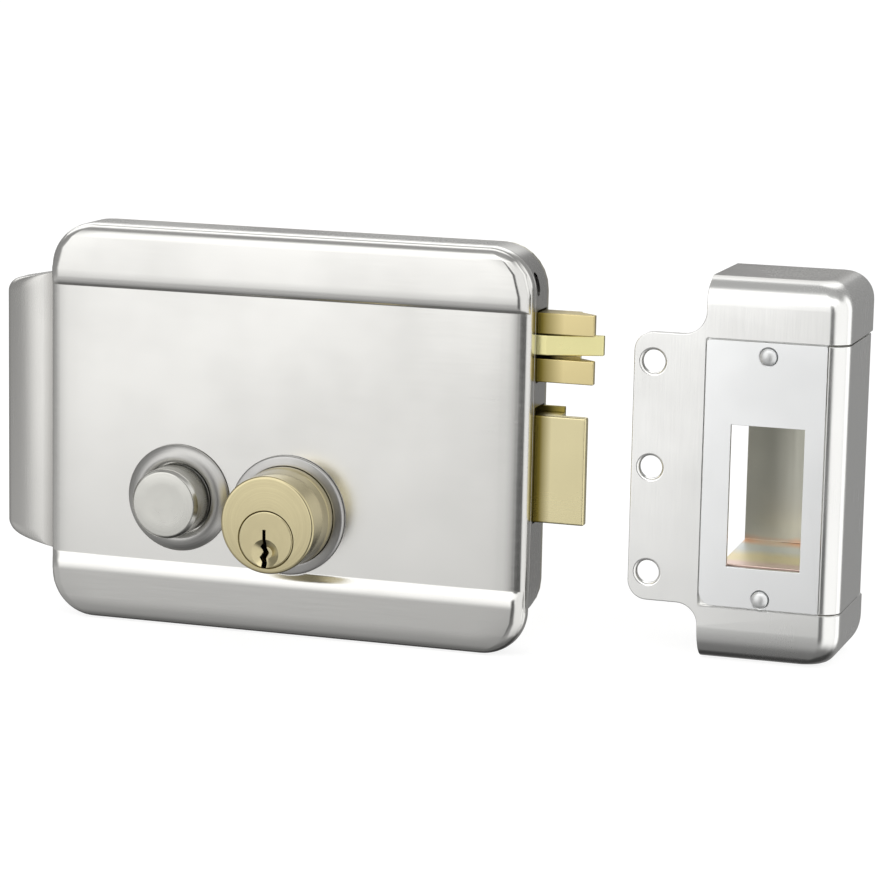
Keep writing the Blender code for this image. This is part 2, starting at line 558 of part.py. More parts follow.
def build_trigger():
    outer = [(48.0, BOLT_FRONT), (LEAF_X1, BOLT_FRONT), (LEAF_X1, BOLT_FRONT + 2.0),
             (74.5, BOLT_REAR), (48.0, BOLT_REAR)]
    middle = [(42.0, BOLT_FRONT - 0.1), (66.2, BOLT_FRONT - 0.1), (MIDDLE_LEAF_X1, FRONT + 10.4),
              (MIDDLE_LEAF_X1, BOLT_REAR), (42.0, BOLT_REAR)]
    leaf("upper_leaf", UPPER_LEAF_Z, outer)
    leaf("lower_leaf", LOWER_LEAF_Z, outer)
    leaf("middle_leaf", MIDDLE_LEAF_Z, middle)
    box("leaf_carriage", (46.0, 75.5), (BACKING_Y0, BACKING_Y1), (18.5, 35.8), "bolt_brass")
    bracket = box("trigger_spring_bracket", (12, 14), (FRONT + 4, INNER_REAR), (15, 39), "zinc_steel")
    bevel(bracket, 0.3)
    for name, z, end, rest in (("upper", 33.3, 32.5, 47.6), ("middle", 27.75, 25.3, 41.6)):
        rod(name + "_spring_rod", "X", (SPRING_Y, z), (14.3, end), 0.9, "bright_steel", sides=12)
        coil_spring(name + "_leaf_spring", "X", (SPRING_Y, z), (14.4, rest), 1.8, 0.3, 9)


# ---- strike ----------------------------------------------------------------------------------
def st(x, z):
    """Strike-local face coordinates to world X and Z."""
    return ST_X + x, ST_Z + z


def cap_rings(inset, z_open, z_end, sign, rise):
    """Rings of a strike cap from its seam to its rounded end; an inset one runs out to the left."""
    rings = [(z_open, 0.0), (z_end - sign * rise, 0.0)]
    for angle in (22, 45, 67, 90):
        a = math.radians(angle)
        rings.append((z_end - sign * (rise - (rise - inset) * math.sin(a)),
                      (CAP_R - inset) * (1 - math.cos(a))))
    result = []
    for z, back in rings:
        outline = rounded(ST_X - (2 if inset else 0), ST_X + ST_W - inset - back,
                          ST_Y + inset + back, ST_Y + ST_D - inset,
                          (0.2, ST_EDGE_R - inset, 1.6, 0.2), 6)
        result.append([(x, y, ST_Z + z) for x, y in outline])
    return result


def build_strike():
    x0, z0 = ST_X, ST_Z
    left, right, tab_low, tab_top = x0 + 0.4, x0 + ST_FLAT - 0.3, z0 + TAB_Z0 + 1, z0 + TAB_Z1 - 1
    web = prism("strike_body", [(left, z0 + 5), (right, z0 + 5), (right, z0 + 92), (left, z0 + 92),
                                (left, tab_top), (x0 - 3, tab_top), (x0 - 3, tab_low), (left, tab_low)],
                "Y", (ST_Y + 1.5, ST_Y + 2.8), "satin_nickel")
    tab = [st(TAB_X + 5, TAB_Z0), st(-5.5, TAB_Z0)]
    for i in range(1, 6):
        a = math.radians(90 * i / 5)
        tab.append(st(-5.5 + 5.5 * math.sin(a), TAB_Z0 - 5.5 + 5.5 * math.cos(a)))
    tab += [st(0.6, TAB_Z0 - 5.5), st(0.6, TAB_Z1 + 6.0), st(0, TAB_Z1 + 6.0)]
    for i in range(1, 6):
        a = math.radians(90 * i / 5)
        tab.append(st(-6 + 6.0 * math.cos(a), TAB_Z1 + 6.0 - 6.0 * math.sin(a)))
    for cz, start in ((TAB_Z1 - 5, 90), (TAB_Z0 + 5, 180)):
        for i in range(6):
            a = math.radians(start + 90 * i / 5)
            tab.append(st(TAB_X + 5 + 5 * math.cos(a), cz + 5 * math.sin(a)))
    tab.pop()
    join(web, prism("cut_tab", tab, "Y", (ST_Y, ST_Y + TAB_T)))
    for name, z_open, z_end, sign, rise in (("top", ST_SEAM_TOP, ST_H, 1, CAP_RISE_TOP),
                                            ("low", ST_SEAM_LOW, 0.0, -1, CAP_RISE_LOW)):
        cap = loft("cut_cap_" + name, cap_rings(0.0, z_open, z_end, sign, rise))
        cut(cap, loft("cut_cap_in_" + name, cap_rings(1.3, z_open - sign, z_end, sign, rise)))
        join(web, cap)
    cut(web, box("cut_web_mouth", (x0 + MOUTH_X0 - 1, x0 + MOUTH_X1 + 1), (ST_Y - 1, ST_Y + 4),
                 (z0 + MOUTH_Z0 - 1, z0 + MOUTH_Z1 + 1)))
    cut(web, box("cut_plate_seat", (x0, x0 + 40), (ST_Y - 1, ST_Y + 1.5),
                 (z0 + ST_SEAM_LOW, z0 + ST_SEAM_TOP)))
    for i, z in enumerate(TAB_HOLES_Z):
        sink = lathe("cut_tab_hole_%d" % i, ((0, 0.5), (3.4, 0.5), (3.4, 0.0), (2.95, -0.8), (2.95, -4),
                                             (0, -4)), (x0 + TAB_HOLE_X, ST_Y, z0 + z), steps=32)
        cut(web, sink)

    plate = prism("strike_face_plate",
                  rounded(x0 + GAP, x0 + ST_FLAT - 0.2, z0 + ST_SEAM_LOW + GAP, z0 + ST_SEAM_TOP - GAP,
                          (3.5, 0.3, 0.3, 0.8), 5), "Y", (ST_Y, ST_Y + 1.2), "pale_steel")
    cut(plate, box("cut_mouth", (x0 + MOUTH_X0, x0 + MOUTH_X1), (ST_Y - 2, ST_Y + 4),
                   (z0 + MOUTH_Z0, z0 + MOUTH_Z1)))
    for i, z in enumerate(ST_SCREWS_Z):
        name = "strike_screw_" + ("lower", "upper")[i]
        hole = rod("cut_" + name, "Y", st(ST_SCREW_X, z), (ST_Y - 2, ST_Y + 5), 1.6, sides=20)
        cut(plate, hole)
        cut(web, hole)
        lathe(name, ((0, 1.3), (0.9, 1.2), (1.7, 0.85), (2.1, 0.35), (2.15, 0.1), (1.3, 0.1),
                     (1.3, -6), (0, -6)), (*[v for v in (x0 + ST_SCREW_X,)], ST_Y - 0.2, z0 + z),
              "bright_steel", 24)

    side = []
    for sheet, order in ((0.0, 1), (1.2, -1)):
        r, r2 = ST_EDGE_R - sheet, ST_REAR_R - sheet
        arc = [(x0 + ST_W - ST_EDGE_R + r * math.sin(math.radians(a)),
                ST_Y + ST_EDGE_R - r * math.cos(math.radians(a))) for a in range(0, 91, 15)]
        rear = [(x0 + ST_W - ST_REAR_R + r2 * math.cos(math.radians(a)),
                 ST_Y + ST_D - ST_REAR_R + r2 * math.sin(math.radians(a))) for a in range(0, 91, 15)]
        path = arc + rear + [(x0 + 5.8, rear[-1][1])]
        side += path[::order]
    prism("strike_side_cover", side, "Z", (z0 + ST_SEAM_LOW + GAP, z0 + ST_SEAM_TOP - GAP),
          "satin_nickel")

    y_rear = ST_Y + ST_D - 1.5
    pocket = box("strike_pocket", (x0 + 5, x0 + ST_FLAT - 0.3), (y_rear - 1.2, y_rear),
                 (z0 + MOUTH_Z0 - 1, z0 + MOUTH_Z1 + 2), "zinc_steel")
    for i, z in enumerate((MOUTH_Z0 - 1, MOUTH_Z1 + 0.8)):
        join(pocket, box("cut_pocket_%d" % i, (x0 + 5, x0 + ST_FLAT - 0.3), (ST_Y + 3.1, y_rear - 0.6),
                         (z0 + z, z0 + z + 1.2)))


build_case()
build_cylinder()
build_button()
build_release()
build_main_bolt()
build_trigger()
build_strike()
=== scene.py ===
"""Looks of the electric rim lock and its box strike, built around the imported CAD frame.

Lengths are in millimetres until a mesh is written.  X runs towards the bolts, Y into the door,
Z is up; the front panel of the lock lies at FRONT and faces -Y.
"""
import json
import math

import bmesh
import bpy
from mathutils import Matrix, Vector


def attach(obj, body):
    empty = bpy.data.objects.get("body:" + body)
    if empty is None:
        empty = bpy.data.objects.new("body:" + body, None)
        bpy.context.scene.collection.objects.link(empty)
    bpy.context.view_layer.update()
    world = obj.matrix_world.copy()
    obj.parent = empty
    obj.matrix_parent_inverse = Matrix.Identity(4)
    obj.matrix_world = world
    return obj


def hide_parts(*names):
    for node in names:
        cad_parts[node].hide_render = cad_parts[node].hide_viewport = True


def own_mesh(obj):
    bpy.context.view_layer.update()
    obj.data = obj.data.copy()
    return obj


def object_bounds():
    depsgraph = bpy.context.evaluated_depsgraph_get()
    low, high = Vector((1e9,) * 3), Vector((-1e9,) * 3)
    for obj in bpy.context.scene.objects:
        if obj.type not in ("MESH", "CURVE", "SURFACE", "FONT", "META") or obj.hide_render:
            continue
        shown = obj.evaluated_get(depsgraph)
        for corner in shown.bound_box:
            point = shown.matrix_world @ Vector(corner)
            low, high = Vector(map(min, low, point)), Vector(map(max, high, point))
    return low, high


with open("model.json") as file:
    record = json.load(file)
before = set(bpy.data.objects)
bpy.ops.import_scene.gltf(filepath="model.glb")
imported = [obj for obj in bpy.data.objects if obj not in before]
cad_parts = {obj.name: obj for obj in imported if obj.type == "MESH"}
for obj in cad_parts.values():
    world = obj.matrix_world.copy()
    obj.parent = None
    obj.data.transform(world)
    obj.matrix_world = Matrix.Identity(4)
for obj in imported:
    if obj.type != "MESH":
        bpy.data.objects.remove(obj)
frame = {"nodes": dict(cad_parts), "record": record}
NODES = frame["nodes"]
MM = 0.001
cad_box = [list(corner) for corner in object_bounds()]
BODY_OF = {n: body for body, names in frame["record"]["behaviour"]["bodies"].items() for n in names}
SLOT_OF = {p["node"]: p["material_slot"] for p in frame["record"]["subparts"]}

# ---- sizes shared with the CAD ---------------------------------------------------------------
CASE_W, CASE_H, CORNER_R = 131.9, 105.0, 12.0
FRONT, COVER_REAR, INNER_REAR = -15.6, -11.9, -1.8
CASE_FOOT = -46.5
SHEET, WALL, GAP = 1.2, 1.5, 0.3
BAND_TOP_Z, BAND_LOW_Z, BAND_RISE, BAND_TILT = 36.0, -35.2, 1.6, 0.05
EAR_X0, EAR_X1, EAR_Z0, EAR_Z1, EAR_FRONT = -81.3, -66.3, -35.2, 38.6, FRONT + 3.6
EAR_R, EAR_TAPER = 3.3, 0.0055
CYL_X, CYL_Z, CYL_R, CYL_R_REAR, CYL_PROUD, CYL_DEPTH = 1.5, -20.2, 12.7, 13.0, 15.0, 6.5
PLUG_X, PLUG_Z, PLUG_R, PLUG_GAP, RING_R, RING_BORE = 1.2, -24.0, 7.35, 0.14, 15.7, 13.15
PLUG_HUB_R, PLUG_HUB_END = 2.6, -8.1
BUTTON_X, BUTTON_Z, BUTTON_R, BUTTON_PROUD, FLANGE_R = -28.8, -18.0, 9.15, 10.7, 14.1
BOLT_FRONT, BOLT_REAR = FRONT + 5.5, FRONT + 12.0
BOLT_X0, BOLT_X1, BOLT_Z0, BOLT_Z1, BOLT_STEP_X, BOLT_TIP_T = 50.0, 79.3, -17.9, 9.8, 72.1, 2.2
TAIL_X1, TAIL_Y0, TAIL_Y1, TAIL_Z1 = 57.7, FRONT + 9.7, FRONT + 11.2, -7.0
SPRING_Y = FRONT + 8.75
BACKING_Y0, BACKING_Y1, BACKING_X1, BACKING_Z0, BACKING_Z1 = FRONT + 12.3, FRONT + 13.5, 71.8, -16.5, 11.3
ROD_Z, ROD_BORE_R, ROD_BORE_DEPTH = 4.0, 2.2, 14
RIVET_X, RIVETS_Z, RIVET_R = 54.0, (-10.0, -15.0), 1.5
LEAVES_Z = {"upper_leaf": (30.6, 36.0), "middle_leaf": (25.2, 30.3), "lower_leaf": (18.3, 24.3)}
LEAF_X0, LEAF_X1, LEAF_CHAMFER_X = 48.0, 80.8, 74.5
MIDDLE_LEAF_X0, MIDDLE_LEAF_X1, MIDDLE_SLOPE_X = 42.0, 82.0, 68.4
CARRIAGE_X, CARRIAGE_Z = (46.0, 75.5), (18.5, 35.8)
ST_X, ST_Y, ST_Z = 106.9, 0.8, -52.5
ST_W, ST_H, ST_D, ST_EDGE_R, ST_REAR_R = 36.4, 98.5, 32.4, 5.0, 4.0
ST_FLAT = ST_W - ST_EDGE_R
CAP_R, CAP_RISE_TOP, CAP_RISE_LOW = 7.0, 7.0, 9.0
ST_SEAM_LOW, ST_SEAM_TOP = 14.4, 83.2
TAB_X, TAB_Z0, TAB_Z1, TAB_T = -18.5, 14.6, 83.9, 1.8
TAB_HOLE_X, TAB_HOLES_Z = -13.4, (21.9, 49.1, 76.3)
MOUTH_X0, MOUTH_X1, MOUTH_Z0, MOUTH_Z1 = 7.2, 26.2, 25.0, 61.6
ST_SCREW_X, ST_SCREWS_Z = 16.2, {"strike_screw_lower": 17.2, "strike_screw_upper": 79.4}
SCREW_R, SCREW_HEAD_R = 1.3, 2.15


# ---- materials -------------------------------------------------------------------------------
class Shader:
    """Small helper that wires a Principled material."""

    def __init__(self, name, colour, rough, metal):
        self.mat = bpy.data.materials.new(name)
        self.mat.use_nodes = True
        self.tree = self.mat.node_tree
        self.bsdf = self.tree.nodes["Principled BSDF"]
        self.bsdf.inputs["Base Color"].default_value = (*colour, 1)
        self.bsdf.inputs["Roughness"].default_value = rough
        self.bsdf.inputs["Metallic"].default_value = metal
        self.coords = self.tree.nodes.new("ShaderNodeTexCoord")

    def node(self, kind, **inputs):
        node = self.tree.nodes.new(kind)
        for key, value in inputs.items():
            node.inputs[key].default_value = value
        return node

    def link(self, a, b):
        self.tree.links.new(a, b)

    def noise(self, scale, stretch=(1, 1, 1), detail=4.0, rough=0.55, vector=None):
        mapping = self.tree.nodes.new("ShaderNodeMapping")
        mapping.inputs["Scale"].default_value = stretch
        self.link(vector or self.coords.outputs["Object"], mapping.inputs["Vector"])
        noise = self.node("ShaderNodeTexNoise", Scale=scale, Detail=detail, Roughness=rough)
        self.link(mapping.outputs["Vector"], noise.inputs["Vector"])
        return noise.outputs["Fac"]

    def remap(self, value, low, high, start=0.35, end=0.65):
        node = self.node("ShaderNodeMapRange")
        for key, number in (("From Min", start), ("From Max", end), ("To Min", low), ("To Max", high)):
            node.inputs[key].default_value = number
        self.link(value, node.inputs["Value"])
        return node.outputs["Result"]

    def math(self, operation, a, b=None):
        node = self.tree.nodes.new("ShaderNodeMath")
        node.operation = operation
        for socket, value in zip(node.inputs, (a, b)):
            if isinstance(value, (int, float)):
                socket.default_value = value
            elif value is not None:
                self.link(value, socket)
        return node.outputs[0]

    def mix(self, fac, a, b):
        node = self.tree.nodes.new("ShaderNodeMix")
        node.data_type = "RGBA"
        for socket, value in ((node.inputs[6], a), (node.inputs[7], b)):
            if isinstance(value, tuple):
                socket.default_value = (*value, 1)
            else:
                self.link(value, socket)
        self.link(fac, node.inputs[0])
        return node.outputs[2]

    def bump(self, height, strength, distance):
        node = self.node("ShaderNodeBump", Strength=strength, Distance=distance)
        self.link(height, node.inputs["Height"])
        self.link(node.outputs["Normal"], self.bsdf.inputs["Normal"])


def tint(colour, factor):
    return tuple(min(1.0, c * factor) for c in colour)


STRETCH = {"X": (0.03, 1, 1), "Y": (1, 0.03, 1), "Z": (1, 1, 0.03)}


def brushed(name, colour, rough, along="X", strength=0.12, grain=2400.0, spread=0.02, patch=0.03, metal=1.0,
            shade=None, vary=0.025):
    """Metal with a fine directional grain, faint patches and a little handling haze.  shade =
    (axis, from, to, colour) paints shade into the colour: a darker tone that fades out along an axis,
    in millimetres; vary is how far the grain moves the roughness."""
    s = Shader(name, colour, rough, metal)
    fine = s.noise(grain, STRETCH[along], 5.0, 0.7)
    broad = s.noise(26.0, (1, 1, 1), 3.0)
    speck = s.noise(3200.0, (1, 1, 1), 2.0)
    base = s.mix(s.remap(fine, 0.0, 1.0, 0.3, 0.7), tint(colour, 1 - spread), tint(colour, 1 + spread))
    hazy = s.mix(s.remap(broad, 0.0, patch * 8, 0.4, 0.7), base, tint(colour, 0.88))
    final = s.mix(s.remap(speck, 0.0, 0.15, 0.62, 0.75), hazy, tint(colour, 0.85))
    # painted shade: the colour darkens towards one end of an axis
    if shade:
        split = s.tree.nodes.new("ShaderNodeSeparateXYZ")
        s.link(s.coords.outputs["Object"], split.inputs[0])
        painted_shade_fade = s.remap(split.outputs[shade[0]], 1.0, 0.0, shade[1] * MM, shade[2] * MM)
        final = s.mix(painted_shade_fade, final, shade[3])
    s.link(final, s.bsdf.inputs["Base Color"])
    uneven = s.math("ADD", s.remap(fine, rough - vary, rough + vary, 0.3, 0.7), s.remap(broad, -0.02, 0.03))
    s.link(uneven, s.bsdf.inputs["Roughness"])
    s.bump(s.math("ADD", fine, s.math("MULTIPLY", speck, 0.4)), strength, 0.00002)
    return s.mat


def turned(name, colour, rough, centre, strength=0.1, rings=2600.0, spread=0.06):
    """Lathe-turned metal: fine rings about an axis along Y through centre (x, z) in millimetres."""
    s = Shader(name, colour, rough, 1.0)
    split = s.tree.nodes.new("ShaderNodeSeparateXYZ")
    s.link(s.coords.outputs["Object"], split.inputs[0])
    dx = s.math("SUBTRACT", split.outputs["X"], centre[0] * MM)
    dz = s.math("SUBTRACT", split.outputs["Z"], centre[1] * MM)
    radius = s.math("SQRT", s.math("ADD", s.math("MULTIPLY", dx, dx), s.math("MULTIPLY", dz, dz)))
    join = s.tree.nodes.new("ShaderNodeCombineXYZ")
    s.link(radius, join.inputs[0])
    s.link(split.outputs["Y"], join.inputs[1])
    ring = s.noise(rings, (1, 1, 1), 3.0, 0.6, join.outputs[0])
    broad = s.noise(110.0, (1, 1, 1), 3.0)
    base = s.mix(s.remap(ring, 0.0, 1.0, 0.3, 0.7), tint(colour, 1 - spread), tint(colour, 1 + spread))
    s.link(s.mix(s.remap(broad, 0.0, 0.4), base, tint(colour, 0.92)), s.bsdf.inputs["Base Color"])
    s.link(s.math("ADD", s.remap(broad, rough - 0.03, rough + 0.03), s.remap(ring, -0.03, 0.03)),
           s.bsdf.inputs["Roughness"])
    s.bump(ring, strength, 0.00003)
    return s.mat


def passivated(name, colour, rough, strength, floor=None):
    """Zinc plate whose thin yellow passivation shimmers from olive to rose.  floor = (z, y) in
    millimetres marks a shelf where the film pools: rose in the rear corner, yellow at the front."""
    s = Shader(name, colour, rough, 1.0)
    cloud = s.noise(42.0, (1, 1, 2.2), 3.0)
    fine = s.noise(1400.0, STRETCH["Z"], 5.0, 0.7)
    ramp = s.tree.nodes.new("ShaderNodeValToRGB")
    stops = ((0.30, tint(colour, 0.95)), (0.42, (0.62, 0.60, 0.44)), (0.50, (0.66, 0.58, 0.40)),
             (0.57, (0.68, 0.54, 0.47)), (0.64, (0.60, 0.58, 0.56)), (0.74, tint(colour, 1.05)))
    if floor:
        stops = ((0.30, tint(colour, 0.9)), (0.5, tint(colour, 1.0)), (0.74, tint(colour, 1.08)))
    ramp.color_ramp.elements[0].position, ramp.color_ramp.elements[0].color = stops[0][0], (*stops[0][1], 1)
    ramp.color_ramp.elements[1].position, ramp.color_ramp.elements[1].color = stops[-1][0], (*stops[-1][1], 1)
    for position, shade in stops[1:-1]:
        ramp.color_ramp.elements.new(position).color = (*shade, 1)
    s.link(cloud, ramp.inputs["Fac"])
    share = s.math("MULTIPLY", s.remap(s.noise(18.0), 0.2, 1.0), strength)
    final = s.mix(share, tint(colour, 1.0), ramp.outputs["Color"])
    if floor:
        split = s.tree.nodes.new("ShaderNodeSeparateXYZ")
        s.link(s.coords.outputs["Object"], split.inputs[0])
        wave = s.math("MULTIPLY", s.math("SUBTRACT", s.noise(70.0), 0.5), 0.006)
        height = s.math("ADD", split.outputs["Z"], wave)
        depth = s.math("ADD", split.outputs["Y"], wave)
        z, y = floor
        low = s.remap(height, 1.0, 0.0, (z + 2.5) * MM, (z + 4.5) * MM)
        yellow, grey = (0.82, 0.72, 0.46), (0.70, 0.72, 0.70)
        rose, pink = (0.84, 0.60, 0.44), (0.84, 0.66, 0.58)
        tray = s.mix(s.remap(depth, 0.0, 1.0, (y + 13) * MM, (y + 19) * MM), yellow, grey)
        tray = s.mix(s.remap(depth, 0.0, 1.0, (y + 24) * MM, (y + 28) * MM), tray, rose)
        tray = s.mix(s.remap(depth, 1.0, 0.0, (y + 6) * MM, (y + 9) * MM), tray, pink)
        final = s.mix(low, final, tray)
    s.link(final, s.bsdf.inputs["Base Color"])
    s.link(s.remap(fine, rough - 0.04, rough + 0.06, 0.3, 0.7), s.bsdf.inputs["Roughness"])
    s.bump(fine, 0.04, 0.00002)
    return s.mat


def plastic(name, colour, rough=0.45):
    """Moulded plastic with a fine grain."""
    s = Shader(name, colour, rough, 0.0)
    fine = s.noise(2200.0, (1, 1, 1), 4.0)
    s.link(s.mix(s.remap(s.noise(60.0), 0.0, 1.0), tint(colour, 0.9), tint(colour, 1.1)),
           s.bsdf.inputs["Base Color"])
    s.link(s.remap(fine, rough - 0.08, rough + 0.1), s.bsdf.inputs["Roughness"])
    s.bump(fine, 0.15, 0.00005)
    return s.mat


NICKEL = (0.74, 0.735, 0.715)
# Brown for painted shade on the bolt and leaves where they leave the case.
PAINTED_SHADE_BROWN = (0.20, 0.155, 0.03)
LOOKS = {
    "cover": brushed("satin_nickel_cover", NICKEL, 0.22, "X", strength=0.01),
    # Painted shade: the ear darkens towards the cover's edge, from x -69.5 to -66 mm.
    "ear": brushed("satin_nickel_ear_painted_shade", (0.72, 0.712, 0.69), 0.25, "Z", strength=0.006, spread=0.01,
                   shade=("X", -66.0, -69.5, (0.36, 0.35, 0.335))),
    "case": brushed("satin_nickel_case", (0.56, 0.555, 0.54), 0.27, "Z", strength=0.01),
    # Painted light: a lighter copy of the satin nickel for the brighter-lit strike, with painted shade
    # darkening its top face.
    "strike": brushed("satin_nickel_strike_painted_light", (0.93, 0.93, 0.915), 0.24, "Z", strength=0.006, spread=0.008,
                      shade=("Z", ST_Z + ST_H - 0.12, ST_Z + ST_H - 0.8, (0.46, 0.455, 0.44))),
    "plate": brushed("pale_plate", (0.975, 0.985, 0.99), 0.23, "Z", strength=0.003, spread=0.004, patch=0.008,
                     vary=0.006),
    "zinc": passivated("zinc_plate", (0.62, 0.61, 0.54), 0.34, 0.45),
    # Painted light: a lighter copy of the zinc plate brightens the pocket's shaded inside; the floor's
    # coloured bands are the passivation's own.
    "pocket": passivated("zinc_pocket_painted_light", (0.74, 0.735, 0.64), 0.34, 0.9, floor=(ST_Z + MOUTH_Z0 - 1, ST_Y)),
    "steel": brushed("bright_steel", (0.72, 0.72, 0.72), 0.26, "Z"),
    "dome": brushed("screw_steel", (0.88, 0.89, 0.89), 0.34, "X", strength=0.01, metal=0.7),
    "spring": brushed("spring_wire", (0.50, 0.50, 0.52), 0.3, "X"),
    # Painted shade: the bolt and leaves darken to brown towards the case side, fading out by x 70.3 and 73.0
    # mm.
    "brass": brushed("bolt_brass", (0.79, 0.71, 0.43), 0.28, "X", strength=0.002, spread=0.01,
                     shade=("X", 67.3, 70.3, PAINTED_SHADE_BROWN), vary=0.01),
    # Painted shade: a dark olive brass for the backing, standing in for the shade it sits in above the bolt.
    "backing": brushed("backing_brass_painted_shade", (0.36, 0.30, 0.085), 0.32, "X", strength=0.02),
    "leaf": brushed("leaf_brass_painted_shade", (0.79, 0.67, 0.35), 0.28, "X", strength=0.002, spread=0.01,
                    shade=("X", 67.2, 73.0, PAINTED_SHADE_BROWN), vary=0.01),
    # Painted highlight: a paler, brighter copy of the leaf brass for the middle leaf, whose slanted face
    # catches the light.
    "trigger": brushed("trigger_brass_painted_highlight", (0.90, 0.84, 0.43), 0.28, "X", strength=0.002, spread=0.01,
                       vary=0.008),
    "cylinder": turned("cylinder_brass", (0.60, 0.53, 0.325), 0.10, (CYL_X, CYL_Z), 0.03),
    "plug": turned("plug_brass", (0.60, 0.53, 0.325), 0.20, (PLUG_X, PLUG_Z), 0.05),
    "ring": turned("ring_nickel", (0.50, 0.495, 0.485), 0.32, (CYL_X, CYL_Z), 0.04),
    "button": turned("button_nickel", (0.64, 0.635, 0.60), 0.24, (BUTTON_X, BUTTON_Z), 0.05, spread=0.03),
    "flange": turned("flange_nickel", (0.54, 0.535, 0.52), 0.36, (BUTTON_X, BUTTON_Z), 0.02),
    "copper": brushed("coil_copper", (0.62, 0.27, 0.12), 0.35, "Z", grain=900.0),
    "black": plastic("black_plastic", (0.03, 0.03, 0.035), 0.5),
    "white": plastic("white_nylon", (0.78, 0.77, 0.72)),
    "red": plastic("red_sleeve", (0.55, 0.04, 0.03)),
}
BY_SLOT = {
    "satin_nickel": "cover", "nickel_edge": "case", "zinc_steel": "zinc", "pale_steel": "plate",
    "bright_steel": "steel", "spring_steel": "spring", "bolt_brass": "brass", "cylinder_brass": "cylinder",
    "coil_copper": "copper", "black_plastic": "black", "white_plastic": "white", "red_wire": "red",
}
for node, slot in SLOT_OF.items():
    NODES[node].data.materials.clear()
    NODES[node].data.materials.append(LOOKS[BY_SLOT[slot]])


# ---- mesh helpers ----------------------------------------------------------------------------
def solid(name, bm):
    """Write a bmesh given in millimetres as an object."""
    bmesh.ops.recalc_face_normals(bm, faces=bm.faces)
    mesh = bpy.data.meshes.new(name)
    bm.to_mesh(mesh)
    bm.free()
    mesh.transform(Matrix.Scale(MM, 4))
    obj = bpy.data.objects.new(name, mesh)
    bpy.context.scene.collection.objects.link(obj)
    return obj


def loft(name, rings):
    """Skin closed rings of equal count and cap both ends."""
    bm = bmesh.new()
    rows = [[bm.verts.new(co) for co in ring] for ring in rings]
    for low, high in zip(rows, rows[1:]):
        for i in range(len(low)):
            j = (i + 1) % len(low)
            bm.faces.new((low[i], low[j], high[j], high[i]))
    bm.faces.new(rows[0])
    bm.faces.new(rows[-1])
    return solid(name, bm)


def prism(name, points, axis, span):
    """Extrude a closed outline along an axis; points hold the two other coordinates."""
    k = "XYZ".index(axis)
    rings = []
    for level in span:
        ring = []
        for pair in points:
            co = list(pair)
            co.insert(k, level)
            ring.append(co)
        rings.append(ring)
    return loft(name, rings)


def box(name, x, y, z):
    return prism(name, [(x[0], y[0]), (x[1], y[0]), (x[1], y[1]), (x[0], y[1])], "Z", z)


def lathe(name, profile, centre, steps=96, ridges=None):
    """Turn (radius, height) points about an axis along -Y.  A profile that starts and ends on the
    axis is closed there; any other one is a closed ring.  ridges = (low, high, depth) sinks every
    other point between two heights."""
    bm = bmesh.new()
    cx, cy, cz = centre
    rows = []
    for r, h in profile:
        if r == 0:
            rows.append([bm.verts.new((cx, cy - h, cz))])
            continue
        row = []
        for i in range(steps):
            a = math.tau * i / steps
            deep = ridges[2] if ridges and i % 2 and ridges[0] <= h <= ridges[1] else 0.0
            row.append(bm.verts.new((cx + (r - deep) * math.sin(a), cy - h, cz + (r - deep) * math.cos(a))))
        rows.append(row)
    pairs = list(zip(rows, rows[1:]))
    if profile[0][0]:
        pairs.append((rows[-1], rows[0]))
    for low, high in pairs:
        for i in range(steps):
            j = (i + 1) % steps
            corners = [low[i % len(low)], low[j % len(low)], high[j % len(high)], high[i % len(high)]]
            bm.faces.new(list(dict.fromkeys(corners)))
    return solid(name, bm)


def arc(cx, cy, rx, ry, start, end, count):
    """Points on an elliptical arc, angles in degrees."""
    return [(cx + rx * math.cos(math.radians(start + (end - start) * i / (count - 1))),
             cy + ry * math.sin(math.radians(start + (end - start) * i / (count - 1)))) for i in range(count)]


def rounded(x0, x1, z0, z1, radii, count=7):
    """Rounded rectangle; radii in the order low-left, low-right, top-right, top-left."""
    points = []
    corners = ((x0, z0, 1, 1, 180), (x1, z0, -1, 1, 270), (x1, z1, -1, -1, 0), (x0, z1, 1, -1, 90))
    for (cx, cz, sx, sz, start), r in zip(corners, radii):
        r = max(r, 0.05)
        points += arc(cx + sx * r, cz + sz * r, r, r, start, start + 90, count)
    return points


def bake(obj):
    """Replace the mesh by what the modifiers make of it."""
    bpy.context.view_layer.update()
    shown = obj.evaluated_get(bpy.context.evaluated_depsgraph_get())
    mesh = bpy.data.meshes.new_from_object(shown)
    old = obj.data
    obj.modifiers.clear()
    obj.data = mesh
    bpy.data.meshes.remove(old)
    return obj


def cut(obj, *tools, operation="DIFFERENCE"):
    """Apply cutters one after another and drop them."""
    for tool in tools:
        mod = obj.modifiers.new("cut", "BOOLEAN")
        mod.operation = operation
        mod.solver = "EXACT"
        mod.object = tool
    bake(obj)
    for tool in tools:
        bpy.data.objects.remove(tool, do_unlink=True)
    return obj


def join(obj, *tools):
    return cut(obj, *tools, operation="UNION")


def soften(obj, width, segments=3, angle=40):
    """Round the sharp edges with real geometry."""
    mod = obj.modifiers.new("edge", "BEVEL")
    mod.width = width * MM
    mod.segments = segments
    mod.limit_method = "ANGLE"
    mod.angle_limit = math.radians(angle)
    mod.harden_normals = False
    return bake(obj)


def dress(obj, node, look, sharp=34):
    """Finish a piece: material, smooth shading with crisp creases, body and the node it stands for."""
    obj.name = node + "_detail"
    obj.data.name = obj.name
    obj.data.materials.clear()
    obj.data.materials.append(LOOKS[look])
    obj.data.shade_smooth()
    obj.data.set_sharp_from_angle(angle=math.radians(sharp))
    mod = obj.modifiers.new("normals", "WEIGHTED_NORMAL")
    mod.keep_sharp = True
    mod.weight = 60
    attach(obj, BODY_OF[node])
    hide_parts(node)
    return obj


